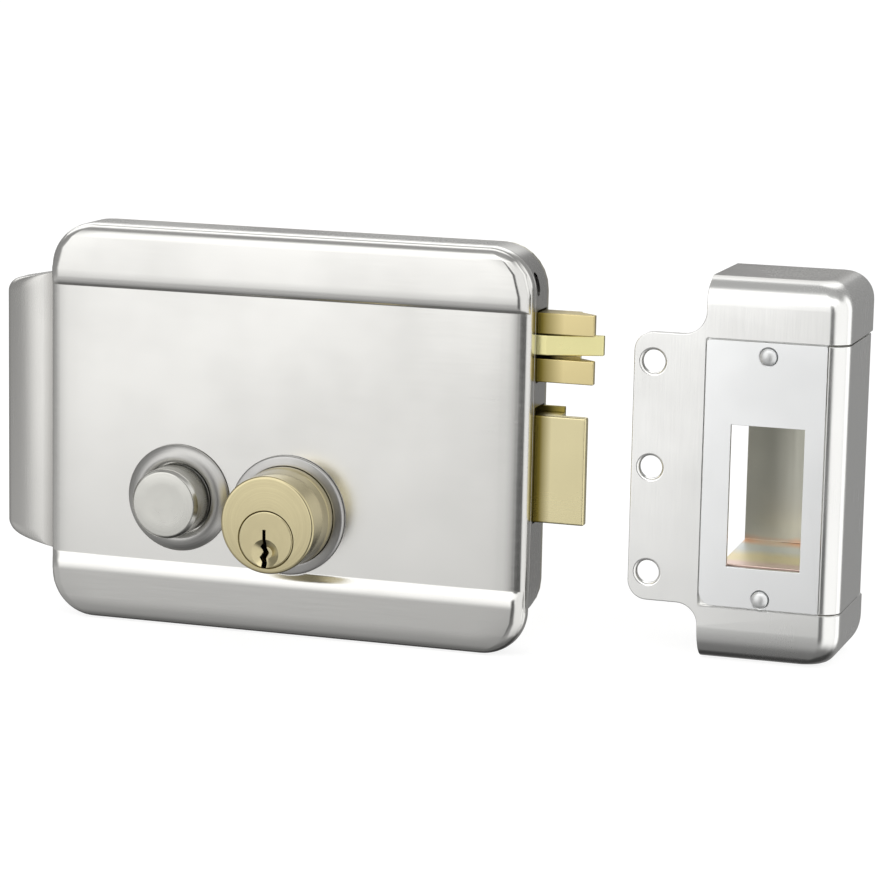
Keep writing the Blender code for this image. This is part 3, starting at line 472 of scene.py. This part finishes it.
# ---- lock case -------------------------------------------------------------------------------
def case_ring(inset, y, foot=-CASE_H / 2, count=18):
    """Outline of the case, drawn in by inset, at depth y."""
    half_w, radii = CASE_W / 2 - inset, [max(CORNER_R - inset, 1.0)] * 4
    outline = rounded(-half_w, half_w, foot + inset, CASE_H / 2 - inset, radii, count)
    return [(x, y, z) for x, z in outline]


def blend_table(table, value):
    """Linear look-up in (x, y) pairs."""
    for (x0, y0), (x1, y1) in zip(table, table[1:]):
        if value <= x1:
            return y0 + (y1 - y0) * max(value - x0, 0.0) / (x1 - x0)
    return table[-1][1]


# Share of the band's rise against the distance from its inner edge.
FLANK_UP = ((0.0, 0.0), (0.1, 0.26), (0.3, 0.48), (0.6, 0.67), (1.0, 0.82), (1.6, 0.92), (2.6, 0.975),
            (4.5, 1.0))
FLANK_LOW = ((0.0, 0.0), (0.25, 0.035), (0.5, 0.095), (0.75, 0.16), (1.0, 0.226), (1.25, 0.292),
             (1.5, 0.358), (1.75, 0.422), (2.0, 0.48), (2.25, 0.527), (2.55, 0.568), (2.9, 0.594),
             (3.3, 0.609), (3.7, 0.617), (4.2, 0.621), (4.7, 0.622))
BAND_LEVEL = 4.2                 # where the low band starts to lean back
BAND_INSET, BAND_FOOT = 0.5, 1.3
BAND_REACH, BAND_REACH_LOW = 3.0, 5.5
BAND_FADES = (1.0, 0.985, 0.96, 0.92, 0.86, 0.78, 0.68, 0.56, 0.43, 0.3, 0.16, 0.0)
BAND_COLUMNS = 14


def band(name, upper):
    """Raised band: crowned flank towards the panel, rounded down to the cover's edge elsewhere."""
    sign, inner, flank = (1, BAND_TOP_Z, FLANK_UP) if upper else (-1, BAND_LOW_Z, FLANK_LOW)
    half_w, end, r = CASE_W / 2 - BAND_INSET, CASE_H / 2 - BAND_INSET, CORNER_R - BAND_INSET
    span = end - sign * inner
    reach_end = BAND_REACH if upper else BAND_REACH_LOW
    rows = [point[0] for point in flank] + [span - reach_end - 3.0]
    rows += [span - reach_end * (1 - n) for n in reversed(BAND_FADES)]
    sides = [BAND_REACH * (1 - n) for n in BAND_FADES]
    bm = bmesh.new()
    top, under = [], []
    for f in rows:
        z = sign * inner + f
        rise = max(z - (end - r), 0.0)
        w = half_w - r + math.sqrt(max(r * r - rise * rise, 0.0))
        across = [w - v for v in sides]
        across += [(w - sides[-1]) * k / BAND_COLUMNS for k in range(BAND_COLUMNS - 1, -BAND_COLUMNS, -1)]
        across += [v - w for v in reversed(sides)]
        line, low = [], []
        for x in across:
            dx, dz = abs(x) - (half_w - r), z - (end - r)
            if dx > 0 and dz > 0:
                edge, lean = r - math.hypot(dx, dz), dz / (dx + dz)
            else:
                edge, lean = min((half_w - abs(x), 0.0), (end - z, 1.0))
            near = max(1.0 - max(edge, 0.0) / (BAND_REACH + (reach_end - BAND_REACH) * lean), 0.0)
            lean_back = 0.0 if upper else BAND_TILT * max(f - BAND_LEVEL, 0.0)
            lift = BAND_RISE * blend_table(flank, f) - lean_back
            height = (BAND_FOOT + lift) * math.sqrt(1 - near * near) - BAND_FOOT
            line.append(bm.verts.new((x, FRONT - height, sign * z)))
            low.append(bm.verts.new((x, FRONT + 1.6, sign * z)))
        top.append(line)
        under.append(low)
    for grid in (top, under):
        for near_row, far_row in zip(grid, grid[1:]):
            for i in range(len(near_row) - 1):
                bm.faces.new((near_row[i], near_row[i + 1], far_row[i + 1], far_row[i]))
    for i in range(len(top[0]) - 1):
        bm.faces.new((top[0][i], top[0][i + 1], under[0][i + 1], under[0][i]))
        bm.faces.new((top[-1][i], top[-1][i + 1], under[-1][i + 1], under[-1][i]))
    for (a, b), (c, d) in zip(zip(top, under), zip(top[1:], under[1:])):
        bm.faces.new((a[0], b[0], d[0], c[0]))
        bm.faces.new((a[-1], b[-1], d[-1], c[-1]))
    return solid(name, bm)


# Depth behind the front against the cover's inset: a panel that rolls over into the side wall.
COVER_EDGE = ((0.0, 14.0), (0.02, 10.5), (0.06, 8.0), (0.11, 6.0), (0.16, 4.8), (0.22, 3.8), (0.29, 3.0),
              (0.37, 2.4), (0.45, 1.9), (0.55, 1.45), (0.68, 1.1), (0.84, 0.82), (1.03, 0.6), (1.27, 0.42),
              (1.55, 0.27), (1.95, 0.16), (2.4, 0.08), (2.9, 0.03), (3.3, 0.0), (3.55, 0.0), (3.7, 0.12))


EAR_SWEEP, EAR_SWELL, EAR_DEPTH = 11.0, 4.6, 10.2


def ear_rings(shell):
    """End cover in rings from its swept front to its rear edge; shell draws in the hollow's rings."""
    middle, rings = (EAR_Z0 + EAR_Z1) / 2, []
    radii = (EAR_R - shell, 0.2, 0.2, EAR_R - shell)
    for i in range(16):
        t = math.radians(6 * i)
        outline = rounded(EAR_X0 + EAR_SWEEP * (1 - math.sin(t)) + shell, EAR_X1 + (2 if shell else 0),
                          EAR_Z0 + shell, EAR_Z1 - shell, radii, 10)
        y = EAR_FRONT + shell + EAR_SWELL * (1 - math.cos(t))
        rings.append([(x, y, middle + (z - middle) * (1 - EAR_TAPER * max(EAR_X1 - x, 0.0)))
                      for x, z in outline])
    rings.append([(x, EAR_FRONT + (12 if shell else EAR_DEPTH), z) for x, y, z in rings[-1]])
    return rings


CYL_HOLE_R, BUTTON_HOLE_R = 13.4, 9.6
SIDE_WALL_X = (60, 70)           # span of a cutter that goes through the case's bolt side
GATE_GAP = 0.4
SLOT_Y, SLOT_Z, SLOT_R = (FRONT + 4.7, FRONT + 7.3), (40.0, 46.0), 1.3
WIRE_GATE_Y, WIRE_GATE_Z = (FRONT + 7, FRONT + 12), (-1, 11)


def build_case():
    cover = loft("cover", [case_ring(inset, FRONT + depth) for depth, inset in COVER_EDGE])
    join(cover, band("band_upper", True), band("band_lower", False))
    inside = [(x, z) for x, y, z in case_ring(SHEET, 0)]
    behind = [(x, z) for x, y, z in case_ring(WALL, 0, CASE_FOOT)]
    at_cyl, at_button = (CYL_X, FRONT, CYL_Z), (BUTTON_X, FRONT, BUTTON_Z)
    cut(cover,
        prism("inside", inside, "Y", (FRONT + SHEET, COVER_REAR - 1.0)),
        prism("behind", behind, "Y", (FRONT + 2.0, FRONT + 9)),
        lathe("seat", ((0, 4), (RING_R + GAP, 4), (RING_R + GAP, 0), (0, 0)), at_cyl),
        lathe("hole_cylinder", ((0, 5), (CYL_HOLE_R, 5), (CYL_HOLE_R, -4), (0, -4)), at_cyl),
        lathe("hole_button", ((0, 5), (BUTTON_HOLE_R, 5), (BUTTON_HOLE_R, -4), (0, -4)), at_button))
    dress(cover, "front_cover", "cover")

    y0, y1 = COVER_REAR + GAP, INNER_REAR
    case = loft("case", [case_ring(0.25, y0, CASE_FOOT), case_ring(0.07, y0 + 0.07, CASE_FOOT),
                         case_ring(0.0, y0 + 0.25, CASE_FOOT), case_ring(0.0, y1 - 0.25, CASE_FOOT),
                         case_ring(0.07, y1 - 0.07, CASE_FOOT), case_ring(0.25, y1, CASE_FOOT)])
    slot = [(y, z) for z, y in rounded(*SLOT_Z, *SLOT_Y, [SLOT_R] * 4, 9)]
    gate_y = (BOLT_FRONT - GAP, 2)
    cut(case,
        prism("inside", behind, "Y", (COVER_REAR - 1, 2)),
        box("gate_leaves", SIDE_WALL_X, gate_y,
            (LEAVES_Z["lower_leaf"][0] - GATE_GAP, LEAVES_Z["upper_leaf"][1] + GATE_GAP)),
        box("gate_bolt", SIDE_WALL_X, gate_y, (BOLT_Z0 - GATE_GAP, BACKING_Z1 + GATE_GAP)),
        box("gate_wires", (-70, -60), WIRE_GATE_Y, WIRE_GATE_Z),
        prism("slot", slot, "X", SIDE_WALL_X))
    dress(case, "rear_case", "case")

    ear = cut(loft("ear", ear_rings(0.0)), loft("ear_inside", ear_rings(SHEET)))
    soften(ear, 0.35, 3, 50)
    dress(ear, "end_cover", "ear")


# ---- key cylinder ----------------------------------------------------------------------------
# Keyway outline about the plug's middle.
KEYWAY_LEFT = ((-0.45, 2.6), (-0.45, -1.0), (-1.3, -2.0), (-0.6, -3.4), (-1.5, -4.8), (-0.7, -6.0),
               (-0.7, -9.0))
KEYWAY_RIGHT = ((0.7, -9.0), (0.7, -6.2), (0.2, -5.0), (1.0, -3.6), (0.3, -2.2), (0.45, -1.0), (0.45, 2.6))


def build_cylinder():
    at = (CYL_X, FRONT, CYL_Z)
    ring = [(RING_BORE, GAP), (RING_R, GAP), (RING_R, 0.7), (RING_R - 0.05, 0.9), (RING_R - 0.18, 1.08),
            (RING_R - 0.4, 1.2), (RING_R - 0.8, 1.27), (14.0, 1.36), (13.4, 1.42), (RING_BORE, 1.4)]
    dress(lathe("ring", ring, at, 120), "cylinder_ring", "ring")

    face, rear = CYL_PROUD, -CYL_DEPTH
    profile = [(0, face), (CYL_R - 0.75, face)] + arc(CYL_R - 0.5, face - 0.5, 0.5, 0.5, 80, 0, 6)
    profile += [(CYL_R, 4.6), (CYL_R + 0.06, 4.2), (CYL_R_REAR - 0.06, 3.4), (CYL_R_REAR, 3.0),
                (CYL_R_REAR, rear), (0, rear)]
    barrel = lathe("barrel", profile, at, 128)
    bore = lathe("bore", ((0, 20), (8.0, 20), (7.75, face + 0.15), (PLUG_R + PLUG_GAP, face - 0.16),
                          (PLUG_R + PLUG_GAP, -12), (0, -12)), (PLUG_X, FRONT, PLUG_Z), 96)
    dress(cut(barrel, bore), "cylinder_barrel", "cylinder", 28)

    top = face + 0.1
    profile = [(0, top), (PLUG_R - 0.4, top)] + arc(PLUG_R - 0.3, top - 0.3, 0.3, 0.3, 75, 0, 4)
    profile += [(PLUG_R, 0.2 - CYL_DEPTH), (PLUG_HUB_R, 0.2 - CYL_DEPTH), (PLUG_HUB_R, PLUG_HUB_END),
                (0, PLUG_HUB_END)]
    plug = lathe("plug", profile, (PLUG_X, FRONT, PLUG_Z), 96)
    funnel = lathe("funnel", ((0, top + 2), (4.7, top + 0.6), (1.5, top - 1.3), (0, top - 1.3)),
                   (PLUG_X - 0.1, FRONT, PLUG_Z - 3.6), 40)
    outline = [(PLUG_X - 0.4 + x, PLUG_Z + z) for x, z in KEYWAY_LEFT + KEYWAY_RIGHT]
    keyway = prism("keyway", outline, "Y", (FRONT - 20, FRONT + 2))
    dress(cut(plug, funnel, keyway), "cylinder_plug", "plug", 28)


# ---- push button -----------------------------------------------------------------------------
def build_button():
    at = (BUTTON_X, FRONT, BUTTON_Z)
    inner = BUTTON_R + 0.5
    flange = [(inner, GAP), (FLANGE_R, GAP), (FLANGE_R, 0.5), (FLANGE_R - 0.1, 0.75), (13.7, 1.1),
              (13.2, 1.48), (12.6, 1.82), (12.0, 2.07), (11.4, 2.22), (10.9, 2.27), (10.4, 2.2),
              (10.0, 2.0), (inner, 1.7)]
    dress(lathe("flange", flange, at, 120), "button_flange", "flange")

    face = BUTTON_PROUD
    profile = [(0, face - 0.08), (5.0, face - 0.03), (BUTTON_R - 1.0, face), (BUTTON_R - 0.7, face - 0.1),
               (BUTTON_R - 0.12, face - 0.75), (BUTTON_R, face - 1.0), (BUTTON_R, face - 1.3),
               (BUTTON_R, face - 1.35), (BUTTON_R, 1.7), (BUTTON_R, 1.6), (BUTTON_R, -1.6), (10.6, -1.6),
               (10.6, -2.8), (7.0, -2.8), (7.0, 8.0), (0, 8.0)]
    button = lathe("button", profile, at, 180, ridges=(1.65, face - 1.32, 0.16))
    dress(button, "push_button", "button", 28)


# ---- bolts -----------------------------------------------------------------------------------
def build_bolts():
    rear_tip = [(LEAF_X0, BOLT_FRONT), (LEAF_X1, BOLT_FRONT), (LEAF_X1, BOLT_FRONT + 2.0),
                (LEAF_CHAMFER_X, BOLT_REAR), (LEAF_X0, BOLT_REAR)]
    front_tip = [(MIDDLE_LEAF_X0, BOLT_FRONT - 0.1), (MIDDLE_SLOPE_X, BOLT_FRONT - 0.1),
                 (MIDDLE_LEAF_X1, FRONT + 10.4), (MIDDLE_LEAF_X1, BOLT_REAR), (MIDDLE_LEAF_X0, BOLT_REAR)]
    for node in ("upper_leaf", "lower_leaf"):
        dress(soften(prism(node, rear_tip, "Z", LEAVES_Z[node]), 0.25, 3, 5), node, "leaf")
    middle = prism("middle", front_tip, "Z", LEAVES_Z["middle_leaf"])
    dress(soften(middle, 0.25, 3, 30), "middle_leaf", "trigger", 15)
    carriage = box("carriage", CARRIAGE_X, (BACKING_Y0, BACKING_Y1), CARRIAGE_Z)
    dress(soften(carriage, 0.2), "leaf_carriage", "brass")
    backing = box("backing", (BOLT_X0, BACKING_X1), (BACKING_Y0, BACKING_Y1), (BACKING_Z0, BACKING_Z1))
    dress(soften(backing, 0.2), "bolt_backing", "backing")

    bolt = soften(box("bolt", (BOLT_X0, BOLT_X1), (BOLT_FRONT, BOLT_REAR), (BOLT_Z0, BOLT_Z1)), 0.5, 4)
    turn = [math.tau * i / 32 for i in range(32)]
    bore = [(SPRING_Y + ROD_BORE_R * math.cos(a), ROD_Z + ROD_BORE_R * math.sin(a)) for a in turn]
    tools = [box("step", (BOLT_STEP_X, BOLT_X1 + 2), (BOLT_FRONT + BOLT_TIP_T, BOLT_REAR + 2),
                 (BOLT_Z0 - 2, BOLT_Z1 + 2)),
             prism("bore", bore, "X", (BOLT_X0 - 2, BOLT_X0 + ROD_BORE_DEPTH)),
             box("seat", (BOLT_X0 - 2, TAIL_X1 + GAP), (TAIL_Y0 - GAP, TAIL_Y1 + GAP),
                 (BOLT_Z0 - 3, TAIL_Z1 + GAP))]
    for z in RIVETS_Z:
        profile = ((0, -3), (RIVET_R, -3), (RIVET_R, -14), (0, -14))
        tools.append(lathe("rivet", profile, (RIVET_X, FRONT, z), 32))
    dress(cut(bolt, *tools), "main_bolt", "brass")


# ---- springs ---------------------------------------------------------------------------------
# Node, joint, axis, centre, ends, which end is fixed, coil radius, wire radius, turns, how far it shortens.
SPRINGS = (
    ("button_spring", "button_press", "Y", (BUTTON_X, BUTTON_Z), (FRONT - 7.5, FRONT + 6.3), 1,
     3.4, 0.35, 6, 3.5),
    ("rocker_spring", "rocker_swing", "Y", (-22.0, BUTTON_Z), (FRONT + 9.3, INNER_REAR), 1,
     1.5, 0.3, 3, 2.5),
    ("bolt_spring", "bolt_slide", "X", (SPRING_Y, ROD_Z), (21.4, 49.6), 0, 2.9, 0.4, 10, 13.0),
    ("upper_leaf_spring", "outer_leaf_slide", "X", (SPRING_Y, 33.3), (14.4, 47.6), 0,
     1.8, 0.3, 9, 14.6),
    ("middle_leaf_spring", "trigger_slide", "X", (SPRING_Y, 27.75), (14.4, 41.6), 0,
     1.8, 0.3, 9, 15.8),
)


def coil(name, axis, centre, span, radius, wire, turns, per_turn=28, sides=8):
    """Round wire wound along X or Y between two levels."""
    k, count, rings = "XYZ".index(axis), turns * per_turn, []
    for i in range(count + 1):
        a = math.tau * i / per_turn
        level = span[0] + wire + (span[1] - span[0] - 2 * wire) * i / count
        ring = []
        for j in range(sides):
            b = math.tau * j / sides
            r = radius + wire * math.cos(b)
            point = [centre[0] + r * math.cos(a), centre[1] + r * math.sin(a)]
            point.insert(k, level + wire * math.sin(b))
            ring.append(point)
        rings.append(ring)
    return loft(name, rings)


def build_springs():
    """Coil springs at their rest length, each with a mesh of its own."""
    for node, joint, axis, centre, span, fixed, radius, wire, turns, travel in SPRINGS:
        spring = dress(coil(node, axis, centre, span, radius, wire, turns), node, "spring", 60)
        k = "XYZ".index(axis)
        anchor = [c * MM for c in centre]
        anchor.insert(k, span[fixed] * MM)
        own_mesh(spring)


# ---- strike ----------------------------------------------------------------------------------
WEB_Y = (ST_Y + 1.5, ST_Y + 2.8)
CAP_SHEET, SIDE_SHEET, POCKET_SHEET, POCKET_RISE = 1.3, 1.2, 1.2, 1.2
TAB_CORNER_R, TAB_FILLET_LOW, TAB_FILLET_TOP = 5, 5.5, 6.0
MOUTH_MARGIN = 1                 # how much wider the opening behind the face plate is
# Cutters as (radius, height): countersunk tab hole, dimple round a plate screw, hole behind it.
TAB_HOLE = ((0, 0.5), (4.1, 0.5), (3.8, 0.02), (3.45, -0.09), (3.2, -0.22), (3.05, -0.42), (2.98, -0.7),
            (2.95, -1.0), (2.95, -4), (0, -4))
DIMPLE = ((0, 0.5), (2.9, 0.5), (2.5, -0.05), (1.6, -0.35), (1.6, -5), (0, -5))
SCREW_HOLE = ((0, 2), (1.6, 2), (1.6, -5), (0, -5))


def cap(name, inset, z_open, z_end, sign, rise):
    """Strike cap from its seam to its rounded end; an inset one runs out to the left."""
    rings = [(z_open, 0.25 if not inset else 0.0, 0.0), (z_open + sign * 0.25, 0.0, 0.0)]
    rings.append((z_end - sign * rise, 0.0, 0.0))
    for angle in range(9, 91, 9):
        a = math.radians(angle)
        rings.append((z_end - sign * (rise - (rise - inset) * math.sin(a)), 0.0,
                      (CAP_R - inset) * (1 - math.cos(a))))
    result = []
    for z, lip, back in rings:
        edge = inset + lip
        outline = rounded(ST_X - (2 if inset else 0), ST_X + ST_W - edge - back, ST_Y + edge + back,
                          ST_Y + ST_D - edge, (0.2, ST_EDGE_R - inset, 1.6, 0.2), 14)
        result.append([(x, y, ST_Z + z) for x, y in outline])
    return loft(name, result)


def build_strike_body():
    """Bent tab, rear web and both caps in one piece."""
    x0, z0 = ST_X, ST_Z
    left, right, tab_low, tab_top = x0 + 0.4, x0 + ST_FLAT - 0.3, z0 + TAB_Z0 + 1, z0 + TAB_Z1 - 1
    body = prism("web", [(left, z0 + 5), (right, z0 + 5), (right, z0 + 92), (left, z0 + 92),
                         (left, tab_top), (x0 - 3, tab_top), (x0 - 3, tab_low), (left, tab_low)],
                 "Y", WEB_Y)
    r, low, top = TAB_CORNER_R, TAB_FILLET_LOW, TAB_FILLET_TOP
    tab = [(TAB_X + r, TAB_Z0), (-low, TAB_Z0)]
    tab += [(-low + low * math.sin(a), TAB_Z0 - low + low * math.cos(a))
            for a in (math.radians(9 * i) for i in range(1, 11))]
    tab += [(0.6, TAB_Z0 - low), (0.6, TAB_Z1 + top), (0, TAB_Z1 + top)]
    tab += arc(-top, TAB_Z1 + top, top, -top, 9, 90, 10)
    tab += arc(TAB_X + r, TAB_Z1 - r, r, r, 90, 180, 11) + arc(TAB_X + r, TAB_Z0 + r, r, r, 180, 270, 11)
    tab.pop()
    tab = soften(prism("tab", [(x0 + x, z0 + z) for x, z in tab], "Y", (ST_Y, ST_Y + TAB_T)), 0.3, 3, 60)
    caps = [cut(cap(name, 0.0, seam, end, sign, rise),
                cap(name + "_inside", CAP_SHEET, seam - sign, end, sign, rise))
            for name, seam, end, sign, rise in (("top", ST_SEAM_TOP, ST_H, 1, CAP_RISE_TOP),
                                                ("low", ST_SEAM_LOW, 0.0, -1, CAP_RISE_LOW))]
    join(body, tab, *caps)
    m = MOUTH_MARGIN
    tools = [box("mouth", (x0 + MOUTH_X0 - m, x0 + MOUTH_X1 + m), (ST_Y - 1, ST_Y + 4),
                 (z0 + MOUTH_Z0 - m, z0 + MOUTH_Z1 + m)),
             box("plate_seat", (x0, x0 + 40), (ST_Y - 1, ST_Y + 1.5), (z0 + ST_SEAM_LOW, z0 + ST_SEAM_TOP))]
    tools += [lathe("tab_hole", TAB_HOLE, (x0 + TAB_HOLE_X, ST_Y, z0 + z), 64) for z in TAB_HOLES_Z]
    tools += [lathe("screw_hole", SCREW_HOLE, (x0 + ST_SCREW_X, ST_Y, z0 + z), 32)
              for z in ST_SCREWS_Z.values()]
    dress(cut(body, *tools), "strike_body", "strike")


def build_strike_front():
    """Face plate with its mouth, and the two domed screws."""
    x0, z0 = ST_X, ST_Z
    outline = rounded(x0 + GAP, x0 + ST_FLAT - 0.2, z0 + ST_SEAM_LOW + GAP, z0 + ST_SEAM_TOP - GAP,
                      (3.5, 0.3, 0.3, 0.8), 10)
    plate = prism("plate", outline, "Y", (ST_Y, ST_Y + SHEET))
    cut(plate, box("mouth", (x0 + MOUTH_X0, x0 + MOUTH_X1), (ST_Y - 2, ST_Y + 4),
                   (z0 + MOUTH_Z0, z0 + MOUTH_Z1)))
    soften(plate, 0.2, 3, 60)
    cut(plate, *[lathe("dimple", DIMPLE, (x0 + ST_SCREW_X, ST_Y, z0 + z), 48) for z in ST_SCREWS_Z.values()])
    dress(plate, "strike_face_plate", "plate")
    for node, z in ST_SCREWS_Z.items():
        dome = [(0, 1.0)]
        dome += [(SCREW_HEAD_R * math.sin(a), 0.1 + 0.9 * math.cos(a))
                 for a in (math.radians(10 * i) for i in range(1, 10))]
        dome += [(SCREW_R, 0.1), (SCREW_R, -6), (0, -6)]
        dress(lathe("dome", dome, (x0 + ST_SCREW_X, ST_Y - 0.2, z0 + z), 48), node, "dome")


def build_strike_rest():
    """Wrapped side cover and the channel of the pocket."""
    x0, z0 = ST_X, ST_Z
    side = []
    for sheet, order in ((0.0, 1), (SIDE_SHEET, -1)):
        r, r2 = ST_EDGE_R - sheet, ST_REAR_R - sheet
        path = arc(x0 + ST_W - ST_EDGE_R, ST_Y + ST_EDGE_R, r, r, -90, 0, 18)
        path += arc(x0 + ST_W - ST_REAR_R, ST_Y + ST_D - ST_REAR_R, r2, r2, 0, 90, 14)
        side += (path + [(x0 + 5.8, path[-1][1])])[::order]
    side = prism("side", side, "Z", (z0 + ST_SEAM_LOW + GAP, z0 + ST_SEAM_TOP - GAP))
    dress(soften(side, 0.2, 3, 60), "strike_side_cover", "strike")

    front, rear = ST_Y + 3.1, ST_Y + ST_D - 1.5
    low, high, t = z0 + MOUTH_Z0 - 1, z0 + MOUTH_Z1 + 2, POCKET_SHEET
    channel = [(front, low), (rear, low), (rear, high), (front, high), (front, high - t),
               (rear - t, high - t), (rear - t, low + t + POCKET_RISE), (front, low + t)]
    pocket = prism("pocket", channel, "X", (x0 + 5, x0 + ST_FLAT - 0.3))
    dress(soften(pocket, 0.25, 3, 40), "strike_pocket", "pocket")


# ---- stage -----------------------------------------------------------------------------------
class Sky:
    """Soft studio seen by everything but the camera, painted by direction."""

    def __init__(self, level):
        self.level = level
        self.world = bpy.data.worlds.new("studio")
        self.world.use_nodes = True
        self.tree = self.world.node_tree
        self.tree.nodes.clear()
        coords = self.tree.nodes.new("ShaderNodeTexCoord")
        split = self.tree.nodes.new("ShaderNodeSeparateXYZ")
        self.tree.links.new(coords.outputs["Generated"], split.inputs[0])
        side, back, up = split.outputs
        front = self.math("MULTIPLY", back, -1.0)
        self.azimuth = self.degrees("ARCTAN2", side, front)
        self.rear = self.degrees("ARCTAN2", side, back)
        self.height = self.degrees("ARCSINE", up)

    def math(self, operation, a, b=None):
        node = self.tree.nodes.new("ShaderNodeMath")
        node.operation = operation
        for socket, value in zip(node.inputs, (a, b)):
            if isinstance(value, (int, float)):
                socket.default_value = value
            elif value is not None:
                self.tree.links.new(value, socket)
        return node.outputs[0]

    def degrees(self, operation, a, b=None):
        return self.math("MULTIPLY", self.math(operation, a, b), 180 / math.pi)

    def step(self, value, edge, soft):
        node = self.tree.nodes.new("ShaderNodeMapRange")
        node.interpolation_type = "SMOOTHSTEP"
        node.inputs["From Min"].default_value = edge - soft
        node.inputs["From Max"].default_value = edge + soft
        self.tree.links.new(value, node.inputs["Value"])
        return node.outputs["Result"]

    def window(self, value, low, high, soft_low, soft_high):
        above = self.step(value, low, soft_low) if low is not None else 1.0
        below = self.math("SUBTRACT", 1.0, self.step(value, high, soft_high)) if high is not None else 1.0
        return self.math("MULTIPLY", above, below)

    def patch(self, level, across, up, soft, rear):
        """Blend one brightness over a window of azimuth and height."""
        mask = self.math("MULTIPLY", self.window(self.rear if rear else self.azimuth, *across, *soft[:2]),
                         self.window(self.height, *up, *soft[2:]))
        mixed = self.tree.nodes.new("ShaderNodeMix")
        mixed.data_type = "FLOAT"
        self.tree.links.new(mask, mixed.inputs[0])
        for socket, value in ((mixed.inputs[2], self.level), (mixed.inputs[3], level)):
            if isinstance(value, (int, float)):
                socket.default_value = value
            else:
                self.tree.links.new(value, socket)
        self.level = mixed.outputs[0]

    def finish(self):
        soft = self.tree.nodes.new("ShaderNodeBackground")
        soft.inputs["Color"].default_value = (1.0, 0.997, 0.99, 1)
        self.tree.links.new(self.level, soft.inputs["Strength"])
        plain = self.tree.nodes.new("ShaderNodeBackground")
        plain.inputs["Color"].default_value = (1, 1, 1, 1)
        paths = self.tree.nodes.new("ShaderNodeLightPath")
        choose = self.tree.nodes.new("ShaderNodeMixShader")
        out = self.tree.nodes.new("ShaderNodeOutputWorld")
        self.tree.links.new(paths.outputs["Is Camera Ray"], choose.inputs[0])
        self.tree.links.new(soft.outputs[0], choose.inputs[1])
        self.tree.links.new(plain.outputs[0], choose.inputs[2])
        self.tree.links.new(choose.outputs[0], out.inputs["Surface"])
        bpy.context.scene.world = self.world


SKY_LEVEL = 0.34
# Brightness, azimuth from and to, height from and to, softness of those four edges, and whether the
# azimuth counts from the rear instead of the front.
SKY_PATCHES = (
    (0.42, (None, None), (66, None), (8, 8, 10, 8), False),            # overhead
    (1.62, (-42, 62), (-4, 62), (16, 14, 8, 8), False),                # front bank of light
    (1.50, (-34, -4), (-16, 12), (12, 9, 6, 8), False),                # front left, down to the floor
    (0.56, (-100, 16), (None, -11.2), (20, 6, 8, 4), False),           # floor in front
    (0.38, (None, None), (None, -30), (8, 8, 8, 9), False),            # nearer floor
    (0.16, (None, None), (None, -52), (8, 8, 8, 12), False),           # floor below
    (0.09, (-9, 16), (-32, 24), (4.5, 4, 8, 8), False),                # dark gap round the viewer
    (1.05, (20, 98), (-45, 46), (4, 8, 14, 10), False),                # right wall
    (1.25, (100, 134), (-40, 46), (5, 6, 14, 10), False),              # right rear strip
    (0.28, (-75, 46), (None, 14), (8, 6, 8, 4), True),                 # dark behind
    (0.04, (-70, 70), (None, -40), (8, 8, 8, 16), True),               # darker still underneath
    (1.60, (-74, 3), (18, 56), (10, 4, 3, 8), True),                   # left rear bank
    (1.40, (-30, 10), (32, 56), (8, 8, 7, 8), True),                   # high behind
)


def build_sky():
    sky = Sky(SKY_LEVEL)
    for patch in SKY_PATCHES:
        sky.patch(*patch)
    sky.finish()


FLOOR_SIZE, FLOOR_DROP, FLOOR_DEPTH = 4000.0, 0.2, 10   # reach each way, gap below the lock, thickness
FLOOR_GREY, FLOOR_GLOW = 0.34, 0.80


def build_floor():
    """Pale floor that glows a little for the camera, and is hidden from reflections."""
    size, top = FLOOR_SIZE, cad_box[0][2] / MM - FLOOR_DROP
    floor = box("floor", (-size, size), (-size, size), (top - FLOOR_DEPTH, top))
    mat = bpy.data.materials.new("floor_white")
    mat.use_nodes = True
    tree = mat.node_tree
    shader = tree.nodes["Principled BSDF"]
    shader.inputs["Base Color"].default_value = (FLOOR_GREY, FLOOR_GREY, FLOOR_GREY, 1)
    shader.inputs["Roughness"].default_value = 0.95
    shader.inputs["Specular IOR Level"].default_value = 0.0
    shader.inputs["Emission Color"].default_value = (1, 1, 1, 1)
    paths = tree.nodes.new("ShaderNodeLightPath")
    glow = tree.nodes.new("ShaderNodeMath")
    glow.operation = "MULTIPLY"
    glow.inputs[1].default_value = FLOOR_GLOW
    tree.links.new(paths.outputs["Is Camera Ray"], glow.inputs[0])
    tree.links.new(glow.outputs[0], shader.inputs["Emission Strength"])
    floor.data.materials.append(mat)
    floor.visible_glossy = False


CAMERA_AT = (0.30665072, -0.82497223, 0.15317688)
CAMERA_RIGHT = (0.94973609, 0.3124034, 0.0201364)
CAMERA_UP = (-0.07364475, 0.160443, 0.98429391)
CAMERA_BACK = (0.30426602, -0.93630239, 0.17538538)
CAMERA_LENS, CAMERA_SENSOR = 138.03, 36.0


def build_camera():
    data = bpy.data.cameras.new("camera")
    data.lens = CAMERA_LENS
    data.sensor_width = CAMERA_SENSOR
    data.clip_start = 0.01
    camera = bpy.data.objects.new("camera", data)
    turn = Matrix((CAMERA_RIGHT, CAMERA_UP, CAMERA_BACK)).transposed().to_4x4()
    camera.matrix_world = Matrix.Translation(CAMERA_AT) @ turn
    bpy.context.scene.collection.objects.link(camera)
    bpy.context.scene.camera = camera


build_camera()
build_case()
build_cylinder()
build_button()
build_bolts()
build_strike_body()
build_strike_front()
build_strike_rest()
build_springs()
build_sky()
build_floor()
bpy.context.scene.view_settings.view_transform = "Standard"
